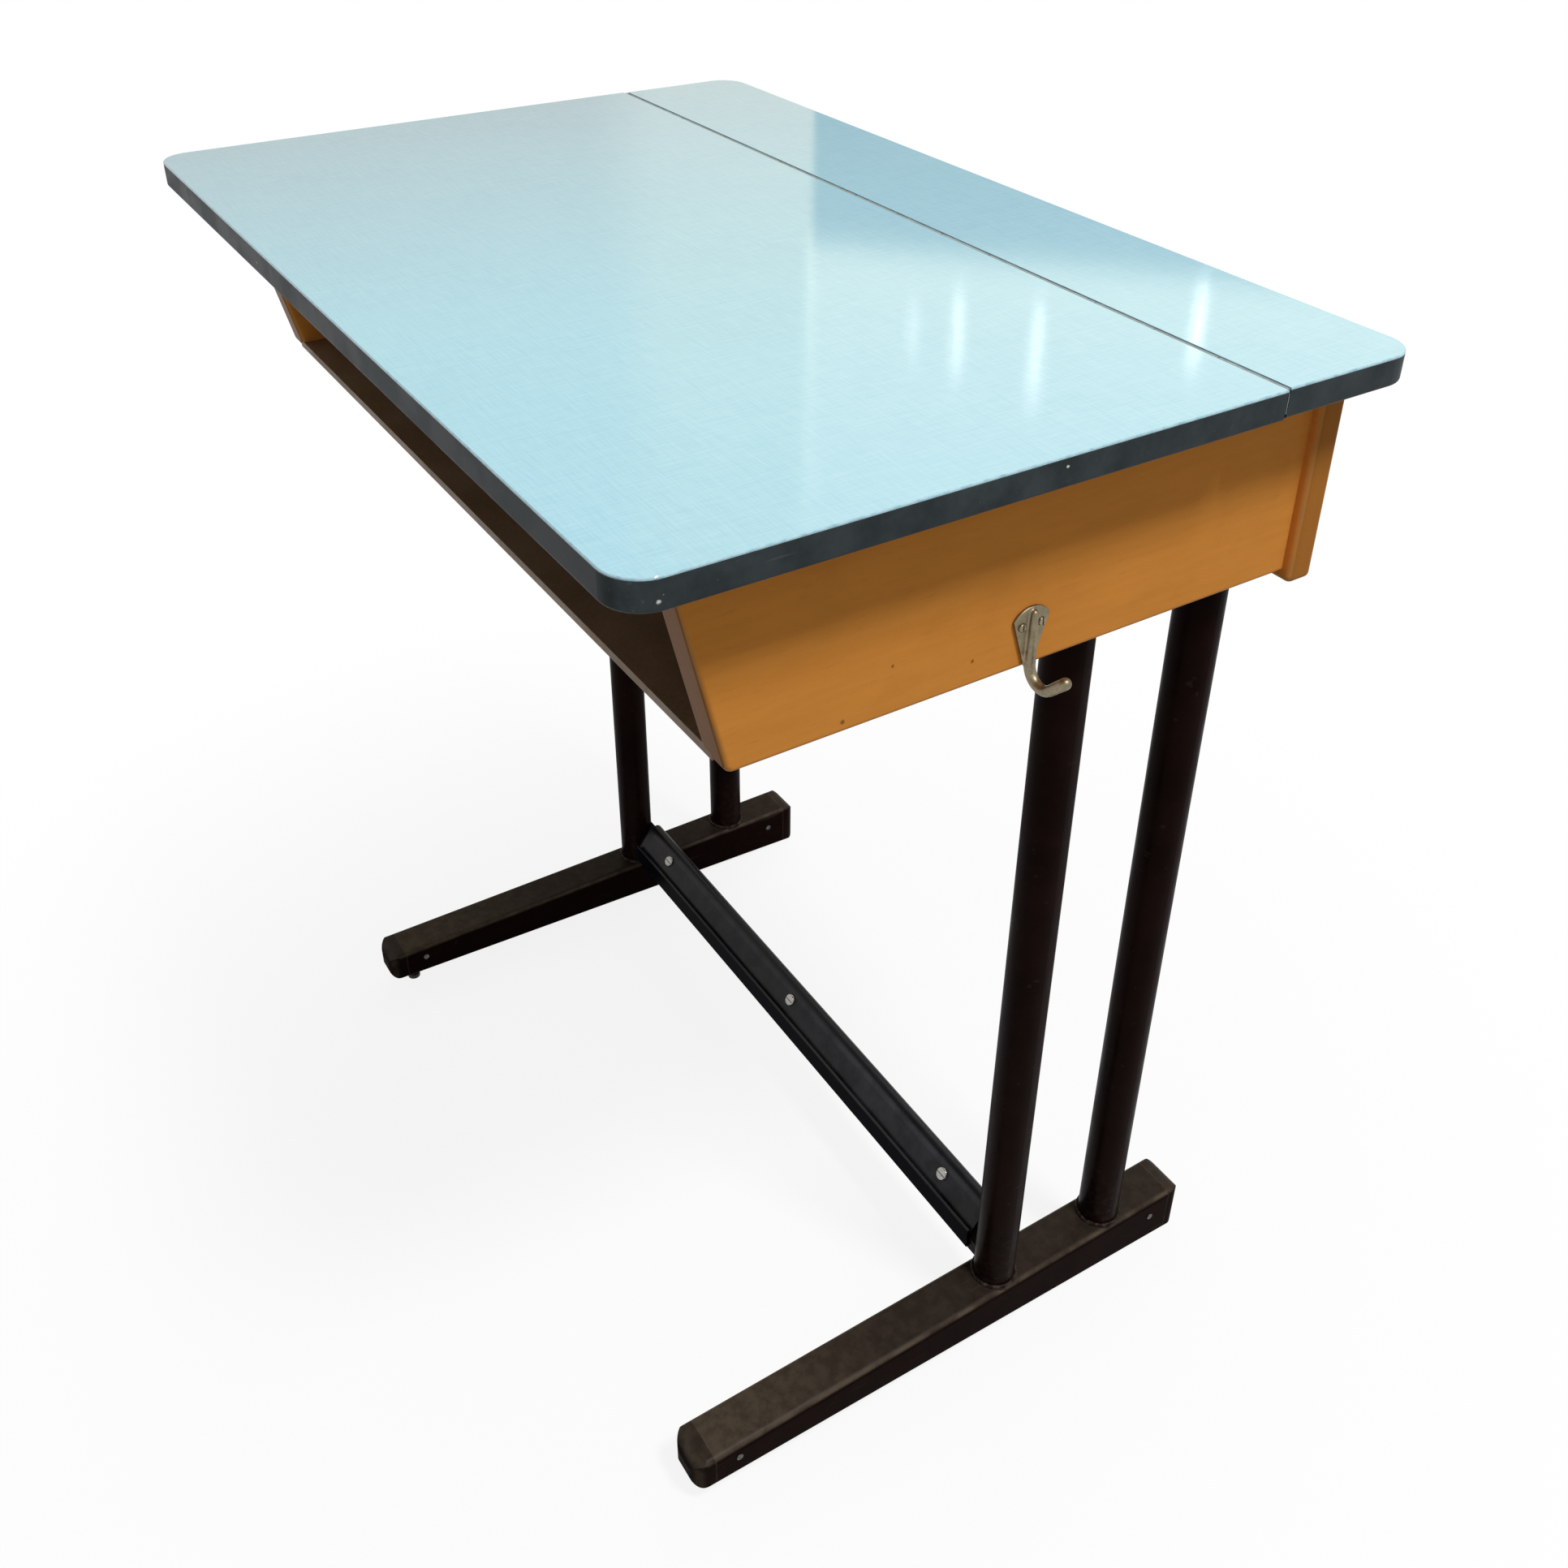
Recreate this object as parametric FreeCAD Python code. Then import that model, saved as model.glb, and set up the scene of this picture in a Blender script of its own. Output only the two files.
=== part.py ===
import FreeCAD, Part
import math
import os

# School desk: a hinged writing leaf and a fixed rear strip on a wooden book box,
# carried by two welded steel side frames that a footrest joins.
# Millimetres, +Z up, floor at z = 0, the pupil sits on the -Y side, +X is the side with the bag hook.
# Every piece is laid out with y measured from the hinge line; saving moves the origin
# to the middle of the desk's footprint.

# Top: two boards with laminate, backing sheet and edge band
top_width = 700.0
top_height = 750.0
leaf_depth = 364.0
strip_depth = 97.5
strip_end_setback = 1.5
top_corner_radius = 20.0
laminate_thickness = 1.2
laminate_bevel = 0.5
core_thickness = 14.5
backing_thickness = 0.8
band_thickness = 2.5
band_edge_round = 1.8

# Continuous hinge, sunk flush in the seam
hinge_pin_radius = 0.7
hinge_running_clearance = 0.05
hinge_wall = 0.65
hinge_recess = 0.1
hinge_edge_clearance = 0.35
hinge_flange_thickness = 0.7
hinge_flange_depth = 12.5
hinge_knuckles = 15
hinge_knuckle_gap = 0.5
hinge_end_inset = 0.3
hinge_screws = 7
hinge_screw_margin = 45.0
hinge_screw_drop = 7.5
hinge_screw_radius = 1.2
hinge_screw_head_radius = 2.4
hinge_screw_head_height = 0.6
hinge_screw_length = 12.0

# Book box
side_overhang = 33.7
front_overhang = 37.0
rear_overhang = 17.0
box_height = 119.5
panel_thickness = 22.0
panel_front_run = 28.0
panel_corner_radius = 5.0
panel_edge_round = 3.0
back_board_thickness = 18.0
back_board_reach = 6.2
back_board_drop = 6.0
back_board_edge_round = 4.0
shelf_thickness = 5.0
shelf_rebate = 8.0
shelf_clearance = 0.2
bearer_width = 22.0
bearer_height = 25.0
bearer_setback = 90.0
cleat_width = 20.0
cleat_height = 20.0
cleat_length = 44.0
cleat_setback = 8.0
bumper_radius = 5.0
bumper_depth = 3.0
bumper_setback = 30.0

# Wood screws
screw_fit = 0.05
wood_screw_radius = 2.0
wood_screw_head_radius = 4.2
wood_screw_tip = 4.0
screw_slot_width = 0.8
screw_slot_share = 0.5
back_screw_length = 50.0
back_screws_per_side = 3
back_screw_margin = 20.0
cleat_screw_bite = 9.0
cleat_screw_margin = 10.0

# Steel side frames
column_inset = 34.7
column_setback = 61.6
column_pitch = 101.0
column_radius = 15.0
column_wall = 1.5
weld_size = 2.5
weld_fit = 0.05
mounting_rail_width = 36.0
mounting_rail_thickness = 5.0
mounting_rail_front_reach = 178.0
mounting_rail_rear_reach = 17.5
mounting_screw_pitch = 80.0
mounting_screw_radius = 2.2
mounting_screw_head_radius = 4.6
mounting_screw_head_height = 2.6
mounting_screw_bite = 18.0

# Foot bars, their caps and what meets the floor
foot_width = 36.0
foot_edge_round = 5.5
foot_lower_round = 2.5
foot_wall = 2.0
heel_depth = 42.0
toe_depth = 26.8
toe_reach = 246.4
heel_reach = 57.6
toe_cap_length = 15.0
heel_cap_length = 15.0
toe_nose_round = 12.8
heel_nose_round = 13.0
cap_lower_round = 6.0
cap_side_round = 12.8
cap_plug_length = 24.0
cap_plug_clearance = 0.3
cap_rivet_setback = 18.0
cap_rivet_share = 0.6
cap_rivet_radius = 1.6
cap_rivet_head_radius = 2.6
cap_rivet_head_height = 0.7
cap_rivet_length = 6.0
heel_pad_thickness = 2.0
heel_pad_length = 28.0
heel_pad_width = 26.0
heel_pad_corner = 4.0
leveller_setback = 9.0
leveller_stem_radius = 3.0
leveller_pad_radius = 5.5
leveller_pad_height = 4.0
leveller_bite = 10.0
leveller_nut_height = 4.0
leveller_nut_radius = 6.0
leveller_fit = 0.05

# Footrest between the feet: a folded rail screwed over a formed stretcher tube
footrest_front = 10.4
footrest_depth = 27.5
footrest_lip_foot = 9.0
footrest_lip_height = 18.0
footrest_trough = 13.5
footrest_crest = 43.0
footrest_crest_width = 11.0
footrest_crest_round = 6.0
footrest_fold_round = 9.3
footrest_edge_round = 0.6
footrest_rear_foot = 16.0
footrest_wall = 2.5
footrest_end_gap = 6.0
stretcher_reach = 19.5
stretcher_drop = 3.8
stretcher_wall = 2.0
stretcher_clearance = 0.5
stretcher_corner = 1.5
footrest_screw_margin = 46.1
footrest_screw_height = 15.6
footrest_screw_radius = 2.2
footrest_screw_head_radius = 5.0
footrest_screw_head_height = 2.4
footrest_screw_extra = 6.0

# Bag hook on the right side panel
hook_setback = 123.2
hook_plate_width = 23.0
hook_plate_top = 36.5
hook_plate_shoulder = 30.0
hook_plate_foot = 4.0
hook_plate_thickness = 2.0
hook_neck_width = 6.4
hook_wire_radius = 3.1
hook_ridge_radius = 2.1
hook_wire_fit = 0.1
hook_bend_radius = 10.0
hook_bend_height = 3.6
hook_bend_angle = 134.0
hook_tip_length = 14.0
hook_tip_radius = 3.3
hook_ridge_top = 33.0
hook_screw_spread = 12.6
hook_screw_height = 26.0
hook_screw_radius = 1.5
hook_screw_head_radius = 2.4
hook_screw_head_height = 1.2
hook_screw_length = 16.0

# Places that follow from the sizes
OVERRUN = 5.0
TOLERANCE = 0.01

top_thickness = laminate_thickness + core_thickness + backing_thickness
top_underside = top_height - top_thickness
core_top = top_height - laminate_thickness
core_bottom = top_underside + backing_thickness
half_top = top_width / 2

hinge_bore = hinge_pin_radius + hinge_running_clearance
knuckle_radius = hinge_bore + hinge_wall
seam_half = knuckle_radius + hinge_edge_clearance
hinge_z = top_height - knuckle_radius - hinge_recess
hinge_length = top_width - 2 * (strip_end_setback + hinge_end_inset)

panel_outer = half_top - side_overhang
panel_inner = panel_outer - panel_thickness
panel_bottom = top_underside - box_height
panel_front_top = -leaf_depth + front_overhang
panel_front_bottom = panel_front_top + panel_front_run
back_rear = strip_depth - rear_overhang
back_front = back_rear - back_board_thickness
shelf_top = panel_bottom + shelf_thickness
rail_underside = panel_bottom - mounting_rail_thickness

column_x = panel_outer - column_inset
front_column_y = -column_setback
rear_column_y = front_column_y + column_pitch
foot_top = heel_pad_thickness + heel_depth
bar_front = front_column_y - toe_reach
bar_rear = rear_column_y + heel_reach
toe_tip = bar_front - toe_cap_length
heel_tip = bar_rear + heel_cap_length
inner_rounding = 0.5
column_rows = {"front": front_column_y, "rear": rear_column_y}

footprint_front = min(-leaf_depth, toe_tip)
footprint_rear = max(strip_depth, heel_tip)
origin_shift = -(footprint_front + footprint_rear) / 2


def vec(x, y, z):
    return FreeCAD.Vector(x, y, z)


def block(x_span, y_span, z_span):
    """A box between two places on each axis."""
    size = [span[1] - span[0] for span in (x_span, y_span, z_span)]
    return Part.makeBox(*size, vec(x_span[0], y_span[0], z_span[0]))


def rounded_wire(corners, place):
    """A closed outline through (u, v, radius) corners; place turns (u, v) into a point in space."""
    edges = []
    joints = []
    count = len(corners)
    for index in range(count):
        before = FreeCAD.Vector(*corners[index - 1][:2], 0)
        corner = FreeCAD.Vector(*corners[index][:2], 0)
        after = FreeCAD.Vector(*corners[(index + 1) % count][:2], 0)
        radius = corners[index][2]
        if radius == 0:
            joints.append((corner, corner, corner))
            continue
        back = (before - corner).normalize()
        ahead = (after - corner).normalize()
        half_angle = back.getAngle(ahead) / 2
        reach = radius / math.tan(half_angle)
        bisector = (back + ahead).normalize()
        crown = corner + bisector * (radius / math.sin(half_angle) - radius)
        joints.append((corner + back * reach, crown, corner + ahead * reach))
    for index in range(count):
        start, crown, end = (place(p.x, p.y) for p in joints[index])
        following = place(joints[(index + 1) % count][0].x, joints[(index + 1) % count][0].y)
        if (end - start).Length > TOLERANCE:
            edges.append(Part.Arc(start, crown, end).toShape())
        if (following - end).Length > TOLERANCE:
            edges.append(Part.LineSegment(end, following).toShape())
    return Part.Wire(edges)


def slab(corners, place, push):
    """A prism: the outline pushed along a vector."""
    return Part.Face(rounded_wire(corners, place)).extrude(push)


def board(half_width, seam_y, free_y, radius, z_span):
    """A board of the top: square at the seam, rounded at its two free corners."""
    corners = [(-half_width, seam_y, 0), (-half_width, free_y, radius),
               (half_width, free_y, radius), (half_width, seam_y, 0)]
    return slab(corners, lambda x, y: vec(x, y, z_span[0]), vec(0, 0, z_span[1] - z_span[0]))


def rim_edges(shape, z, seam_y):
    """The edges of a board's outline at one height, without the edge at the seam."""
    level = [edge for edge in shape.Edges if all(abs(v.Z - z) < TOLERANCE for v in edge.Vertexes)]
    return [edge for edge in level if not all(abs(v.Y - seam_y) < TOLERANCE for v in edge.Vertexes)]


def put(shape, point, facing):
    """A copy of a shape made along Z, moved to a point and turned so that +Z faces a direction."""
    placed = shape.copy()
    placed.Placement = FreeCAD.Placement(point, FreeCAD.Rotation(vec(0, 0, 1), facing))
    return placed


def mirrored(shape):
    return shape.mirror(vec(0, 0, 0), vec(1, 0, 0))


def both_sides(shapes):
    """The shapes of the right side, and the same ones on the left."""
    return list(shapes) + [mirrored(shape) for shape in shapes]


def spread(first, last, count):
    """Evenly spaced places from first to last."""
    if count < 2:
        return [(first + last) / 2]
    return [first + (last - first) * index / (count - 1) for index in range(count)]


def cut_all(shape, tools):
    return shape.cut(Part.makeCompound(tools)) if tools else shape


def turned_pin(radius, length, tip):
    """A shank down from z = 0 with a tapered tip."""
    shank = Part.makeCylinder(radius, length - tip, vec(0, 0, 0), vec(0, 0, -1))
    return shank.fuse(Part.makeCone(radius, radius / 4, tip, vec(0, 0, tip - length), vec(0, 0, -1)))


def slot_in(head_radius, depth):
    """The cutter for a screwdriver slot in a head whose face is at z = 0."""
    reach = head_radius + 1
    return block((-reach, reach), (-screw_slot_width / 2, screw_slot_width / 2), (-depth, 1))


def countersunk_screw(head_radius, radius, length):
    """A slotted flat-head screw, its face at z = 0 and its shank down -Z."""
    head_height = head_radius - radius
    head = Part.makeCone(head_radius, radius, head_height, vec(0, 0, 0), vec(0, 0, -1))
    screw = head.fuse(turned_pin(radius, length, min(wood_screw_tip, length / 3)))
    return screw.cut(slot_in(head_radius, head_height * screw_slot_share)).removeSplitter()


def countersunk_hole(head_radius, radius, length):
    """The hole for that screw, wider by the screw fit."""
    head_height = head_radius - radius
    wide = radius + screw_fit
    head = Part.makeCone(head_radius + screw_fit, wide, head_height, vec(0, 0, 0), vec(0, 0, -1))
    return head.fuse(Part.makeCylinder(wide, length + screw_fit, vec(0, 0, 0), vec(0, 0, -1)))


def pan_screw(head_radius, head_height, radius, length):
    """A slotted domed screw: its head stands on z = 0, its shank goes down -Z."""
    head = Part.makeCylinder(head_radius, head_height)
    crown = [edge for edge in head.Edges if abs(edge.CenterOfMass.z - head_height) < TOLERANCE]
    head = head.makeFillet(head_height * 0.6, crown)
    slot = slot_in(head_radius, head_height * screw_slot_share)
    slot.translate(vec(0, 0, head_height))
    return head.cut(slot).fuse(turned_pin(radius, length, min(wood_screw_tip, length / 3))).removeSplitter()


def pan_hole(radius, length):
    return Part.makeCylinder(radius + screw_fit, length + screw_fit, vec(0, 0, 0), vec(0, 0, -1))


def hinge_screw_places(side):
    """Where the hinge screws stand on the flange of one board; side is -1 for the leaf, 1 for the strip."""
    reach = hinge_length / 2 - hinge_screw_margin
    face_y = side * (seam_half - hinge_flange_thickness)
    return [vec(x, face_y, hinge_z - hinge_screw_drop) for x in spread(-reach, reach, hinge_screws)]


def hinge_screw_holes(side):
    hole = pan_hole(hinge_screw_radius, hinge_screw_length)
    return [put(hole, place, vec(0, -side, 0)) for place in hinge_screw_places(side)]


def top_board(side, half_width, depth):
    """Core, laminate, backing sheet and edge band of the leaf (side -1) or the rear strip (side 1)."""
    seam_y = side * seam_half
    free_y = side * depth
    inner_half = half_width - band_thickness
    inner_free = free_y - side * band_thickness
    inner_radius = top_corner_radius - band_thickness
    core = board(inner_half, seam_y, inner_free, inner_radius, (core_bottom, core_top))
    core = cut_all(core, hinge_screw_holes(side))
    backing = board(inner_half, seam_y, inner_free, inner_radius, (top_underside, core_bottom))
    laminate = board(half_width, seam_y, free_y, top_corner_radius, (core_top, top_height))
    laminate = laminate.makeChamfer(laminate_bevel, rim_edges(laminate, top_height, seam_y))
    band = board(half_width, seam_y, free_y, top_corner_radius, (top_underside, core_top))
    band = band.makeFillet(min(band_edge_round, 0.8 * band_thickness), rim_edges(band, top_underside, seam_y))
    middle = board(inner_half, seam_y - side * OVERRUN, inner_free, inner_radius,
                   (top_underside - OVERRUN, core_top + OVERRUN))
    return {"core": core, "laminate": laminate, "backing": backing, "edge_band": band.cut(middle)}


def hinge_flange(side):
    """One flange of the hinge with its own knuckles: side -1 on the leaf, 1 on the strip."""
    pitch = hinge_length / hinge_knuckles
    faces = sorted((side * seam_half, side * (seam_half - hinge_flange_thickness)))
    shoulder = hinge_z - knuckle_radius - hinge_edge_clearance
    flange = block((-hinge_length / 2, hinge_length / 2), faces, (hinge_z - hinge_flange_depth, shoulder))
    own = range(0 if side > 0 else 1, hinge_knuckles, 2)
    pieces = []
    for index in own:
        start = -hinge_length / 2 + index * pitch + hinge_knuckle_gap / 2
        end = start + pitch - hinge_knuckle_gap
        pieces.append(block((start, end), faces, (shoulder, hinge_z)))
        pieces.append(Part.makeCylinder(knuckle_radius, end - start, vec(start, 0, hinge_z), vec(1, 0, 0)))
    bore = Part.makeCylinder(hinge_bore, top_width, vec(-half_top, 0, hinge_z), vec(1, 0, 0))
    flange = flange.multiFuse(pieces).removeSplitter().cut(bore)
    return cut_all(flange, hinge_screw_holes(side))


def hinge_pin():
    return Part.makeCylinder(hinge_pin_radius, hinge_length, vec(-hinge_length / 2, 0, hinge_z), vec(1, 0, 0))


def hinge_screw_set(side):
    screw = pan_screw(hinge_screw_head_radius, hinge_screw_head_height,
                      hinge_screw_radius, hinge_screw_length)
    return Part.makeCompound([put(screw, place, vec(0, -side, 0)) for place in hinge_screw_places(side)])


def bumper_places():
    """Bumpers on the front end of each side panel's top edge."""
    return [vec(panel_inner + panel_thickness / 2, panel_front_top + bumper_setback, top_underside)]


def bumpers():
    disc = Part.makeCylinder(bumper_radius, bumper_depth, vec(0, 0, 0), vec(0, 0, -1))
    return Part.makeCompound(both_sides([put(disc, place, vec(0, 0, 1)) for place in bumper_places()]))


def back_screw_places():
    x = panel_outer - panel_thickness / 2
    heights = spread(panel_bottom + back_screw_margin, top_underside - back_screw_margin,
                     back_screws_per_side)
    return [vec(x, back_rear, z) for z in heights]


def back_screw_holes():
    hole = countersunk_hole(wood_screw_head_radius, wood_screw_radius, back_screw_length)
    return [put(hole, place, vec(0, 1, 0)) for place in back_screw_places()]


def back_board_screws():
    screw = countersunk_screw(wood_screw_head_radius, wood_screw_radius, back_screw_length)
    return Part.makeCompound(both_sides([put(screw, place, vec(0, 1, 0)) for place in back_screw_places()]))


def cleat_y_span():
    start = seam_half + cleat_setback
    return (start, start + cleat_length)


def cleat_screw_settings():
    """Place, facing and length of the right cleat's screws: one up into the strip, one into the panel."""
    start, end = cleat_y_span()
    middle_x = panel_inner - cleat_width / 2
    middle_z = top_underside - cleat_height / 2
    up = (vec(middle_x, start + cleat_screw_margin, top_underside - cleat_height), vec(0, 0, -1),
          cleat_height + cleat_screw_bite)
    out = (vec(panel_inner - cleat_width, end - cleat_screw_margin, middle_z), vec(-1, 0, 0),
           cleat_width + cleat_screw_bite)
    return [up, out]


def cleat_screw_holes():
    return [put(countersunk_hole(wood_screw_head_radius, wood_screw_radius, length), place, facing)
            for place, facing, length in cleat_screw_settings()]


def cleat_screws():
    screws = [put(countersunk_screw(wood_screw_head_radius, wood_screw_radius, length), place, facing)
              for place, facing, length in cleat_screw_settings()]
    return Part.makeCompound(both_sides(screws))


def strip_cleat():
    cleat = block((panel_inner - cleat_width, panel_inner), cleat_y_span(),
                  (top_underside - cleat_height, top_underside))
    return cut_all(cleat, cleat_screw_holes())


def hook_screw_places():
    z = panel_bottom + hook_screw_height
    x = panel_outer + hook_plate_thickness
    return [vec(x, -hook_setback + reach, z) for reach in (-hook_screw_spread / 2, hook_screw_spread / 2)]


def hook_screw_holes():
    hole = pan_hole(hook_screw_radius, hook_screw_length)
    return [put(hole, place, vec(1, 0, 0)) for place in hook_screw_places()]


def side_panel():
    """The right side panel before its own screw holes: rounded edges, rebate for the shelf."""
    corners = [(panel_front_top, top_underside, 0), (back_front, top_underside, 0),
               (back_front, panel_bottom, 0), (panel_front_bottom, panel_bottom, panel_corner_radius)]
    panel = slab(corners, lambda y, z: vec(panel_inner, y, z), vec(panel_thickness, 0, 0))

    def shows(edge):
        on_face = len({round(v.X, 3) for v in edge.Vertexes}) == 1
        centre = edge.CenterOfMass
        at_top = centre.z > top_underside - TOLERANCE
        at_back = centre.y > back_front - TOLERANCE
        return on_face and not at_top and not at_back
    panel = panel.makeFillet(panel_edge_round, [edge for edge in panel.Edges if shows(edge)])
    rebate = block((panel_inner - OVERRUN, panel_inner + shelf_rebate + shelf_clearance),
                   (panel_front_top - OVERRUN, back_front + OVERRUN),
                   (panel_bottom - OVERRUN, shelf_top + shelf_clearance))
    bumper_hole = Part.makeCylinder(bumper_radius + screw_fit, bumper_depth, vec(0, 0, 0), vec(0, 0, -1))
    holes = [put(bumper_hole, place, vec(0, 0, 1)) for place in bumper_places()]
    return cut_all(panel, [rebate] + holes + back_screw_holes() + cleat_screw_holes())


def back_board():
    """The board behind the box: its ends stand past the side panels and its lower edge hangs below them."""
    half = panel_outer + back_board_reach
    bottom = panel_bottom - back_board_drop
    plank = block((-half, half), (back_front, back_rear), (bottom, top_underside))
    shown = [edge for edge in plank.Edges if edge.CenterOfMass.z < top_underside - TOLERANCE]
    plank = plank.makeFillet(back_board_edge_round, shown)
    return cut_all(plank, both_sides(back_screw_holes()))


def mounting_screw_places():
    between = (front_column_y + rear_column_y) / 2
    rows = [front_column_y - 2 * mounting_screw_pitch, front_column_y - mounting_screw_pitch, between]
    return [vec(column_x, y, rail_underside) for y in rows]


def mounting_screw_length():
    return mounting_rail_thickness + shelf_thickness + mounting_screw_bite


def mounting_screw_holes():
    hole = pan_hole(mounting_screw_radius, mounting_screw_length())
    return [put(hole, place, vec(0, 0, -1)) for place in mounting_screw_places()]


def mounting_screws():
    screw = pan_screw(mounting_screw_head_radius, mounting_screw_head_height,
                      mounting_screw_radius, mounting_screw_length())
    screws = [put(screw, place, vec(0, 0, -1)) for place in mounting_screw_places()]
    return Part.makeCompound(both_sides(screws))


def book_shelf():
    """The thin floor of the book compartment, let into the panels' rebates."""
    half = panel_inner + shelf_rebate
    floor = block((-half, half), (panel_front_bottom, back_front), (panel_bottom, shelf_top))
    return cut_all(floor, both_sides(mounting_screw_holes()))


def shelf_bearer():
    bearer = block((panel_inner - bearer_width, panel_inner),
                   (panel_front_bottom + bearer_setback, back_front),
                   (shelf_top, shelf_top + bearer_height))
    return cut_all(bearer, mounting_screw_holes())


def mounting_rail():
    half = mounting_rail_width / 2
    rail = block((column_x - half, column_x + half),
                 (front_column_y - mounting_rail_front_reach, rear_column_y + mounting_rail_rear_reach),
                 (rail_underside, panel_bottom))
    return cut_all(rail, mounting_screw_holes())


def column(y):
    """A round tube from the foot bar up to the mounting rail."""
    height = rail_underside - foot_top
    tube = Part.makeCylinder(column_radius, height, vec(column_x, y, foot_top))
    bore = Part.makeCylinder(column_radius - column_wall, height, vec(column_x, y, foot_top))
    return tube.cut(bore)


def weld_bead(y, z, up):
    """A bead round a column where it stands on the foot bar, or hangs under the mounting rail."""
    inner = column_radius + weld_fit
    corner = vec(inner, 0, 0)
    outer = vec(inner + weld_size, 0, 0)
    crown = vec(inner + weld_size * math.cos(math.pi / 4), 0, up * weld_size * math.sin(math.pi / 4))
    tip = vec(inner, 0, up * weld_size)
    sides = [Part.LineSegment(corner, outer).toShape(), Part.Arc(outer, crown, tip).toShape(),
             Part.LineSegment(tip, corner).toShape()]
    bead = Part.Face(Part.Wire(sides)).revolve(vec(0, 0, 0), vec(0, 0, 1), 360)
    bead.translate(vec(column_x, y, z))
    return bead


def foot_weld(y):
    """The bead at a column's base, which runs down over the foot bar's rounded edges."""
    skirt = Part.makeCylinder(column_radius + weld_fit + weld_size, foot_edge_round,
                              vec(column_x, y, foot_top - foot_edge_round))
    skirt = skirt.cut(foot_section(0, (bar_front, bar_rear)))
    return weld_bead(y, foot_top, 1).fuse(skirt).removeSplitter()


def column_welds():
    beads = [foot_weld(y) for y in column_rows.values()]
    beads += [weld_bead(y, rail_underside, -1) for y in column_rows.values()]
    return Part.makeCompound(both_sides(beads))


def foot_underside(y):
    """Height of the foot bar's underside, which rises from the heel to the toe."""
    share = (bar_rear - y) / (bar_rear - bar_front)
    return foot_top - heel_depth + share * (heel_depth - toe_depth)


def foot_section(inset, y_span, rounding=1):
    """A stretch of the tapered foot bar, drawn in by inset all round, with a share of its edge rounds."""
    half = foot_width / 2 - inset
    top = foot_top - inset
    start, end = y_span
    corners = [(start, foot_underside(start) + inset, 0), (start, top, 0),
               (end, top, 0), (end, foot_underside(end) + inset, 0)]
    bar = slab(corners, lambda y, z: vec(column_x - half, y, z), vec(2 * half, 0, 0))

    def long_edges(shape):
        return [edge for edge in shape.Edges
                if abs(edge.Vertexes[0].Y - edge.Vertexes[-1].Y) > end - start - TOLERANCE]
    lower = [edge for edge in long_edges(bar) if edge.CenterOfMass.z < top - TOLERANCE]
    bar = bar.makeFillet(foot_lower_round * rounding, lower)
    upper = [edge for edge in long_edges(bar) if edge.CenterOfMass.z > top - TOLERANCE]
    return bar.makeFillet(foot_edge_round * rounding, upper)


def cap_rivet_places():
    """Rivets on both side faces of the bar near its two ends, with the way that each head faces."""
    places = []
    for y in (bar_front + cap_rivet_setback, bar_rear - cap_rivet_setback):
        z = foot_underside(y) + cap_rivet_share * (foot_top - foot_underside(y))
        for facing in (-1, 1):
            places.append((vec(column_x + facing * foot_width / 2, y, z), vec(facing, 0, 0)))
    return places


def cap_rivet_holes():
    hole = pan_hole(cap_rivet_radius, cap_rivet_length)
    return [put(hole, place, facing) for place, facing in cap_rivet_places()]


def cap_rivets():
    head = Part.makeCylinder(cap_rivet_head_radius, cap_rivet_head_height)
    crown = [edge for edge in head.Edges if edge.CenterOfMass.z > cap_rivet_head_height - TOLERANCE]
    head = head.makeFillet(cap_rivet_head_height * 0.6, crown)
    rivet = head.fuse(Part.makeCylinder(cap_rivet_radius, cap_rivet_length, vec(0, 0, 0), vec(0, 0, -1)))
    rivets = [put(rivet, place, facing) for place, facing in cap_rivet_places()]
    return Part.makeCompound(both_sides(rivets))


def leveller_place():
    return vec(column_x, bar_front + leveller_setback, 0)


def leveller_top():
    return foot_underside(bar_front + leveller_setback) + foot_wall + leveller_bite


def leveller_hole():
    place = leveller_place()
    return Part.makeCylinder(leveller_stem_radius + leveller_fit, leveller_top() + leveller_fit, place)


def toe_leveller():
    """A screwed glide under the toe: a rounded pad on the floor and a stem up into the toe cap."""
    pad = Part.makeCylinder(leveller_pad_radius, leveller_pad_height)
    shoulder = [edge for edge in pad.Edges if edge.CenterOfMass.z > leveller_pad_height - TOLERANCE]
    pad = pad.makeFillet(leveller_pad_height / 2, shoulder)
    glide = pad.fuse(Part.makeCylinder(leveller_stem_radius, leveller_top()))
    glide.translate(leveller_place())
    return glide.removeSplitter()


def leveller_nut():
    """A hexagon lock nut drawn up against the sloping underside of the toe."""
    place = leveller_place()
    lowest = foot_underside(place.y) - leveller_nut_height
    turns = [math.radians(60 * turn) for turn in range(6)]
    points = [vec(place.x + leveller_nut_radius * math.cos(turn),
                  place.y + leveller_nut_radius * math.sin(turn), lowest) for turn in turns]
    prism = Part.Face(Part.makePolygon(points + points[:1])).extrude(vec(0, 0, leveller_nut_height + 1))
    return prism.cut(leveller_hole()).cut(foot_section(0, (toe_tip, bar_rear)))


def foot_bar():
    """The tapered hollow bar on the floor under one pair of columns."""
    bar = foot_section(0, (bar_front, bar_rear))
    cavity = foot_section(foot_wall, (bar_front - OVERRUN, bar_rear + OVERRUN), inner_rounding)
    return cut_all(bar.cut(cavity), cap_rivet_holes() + [leveller_hole()])


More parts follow.
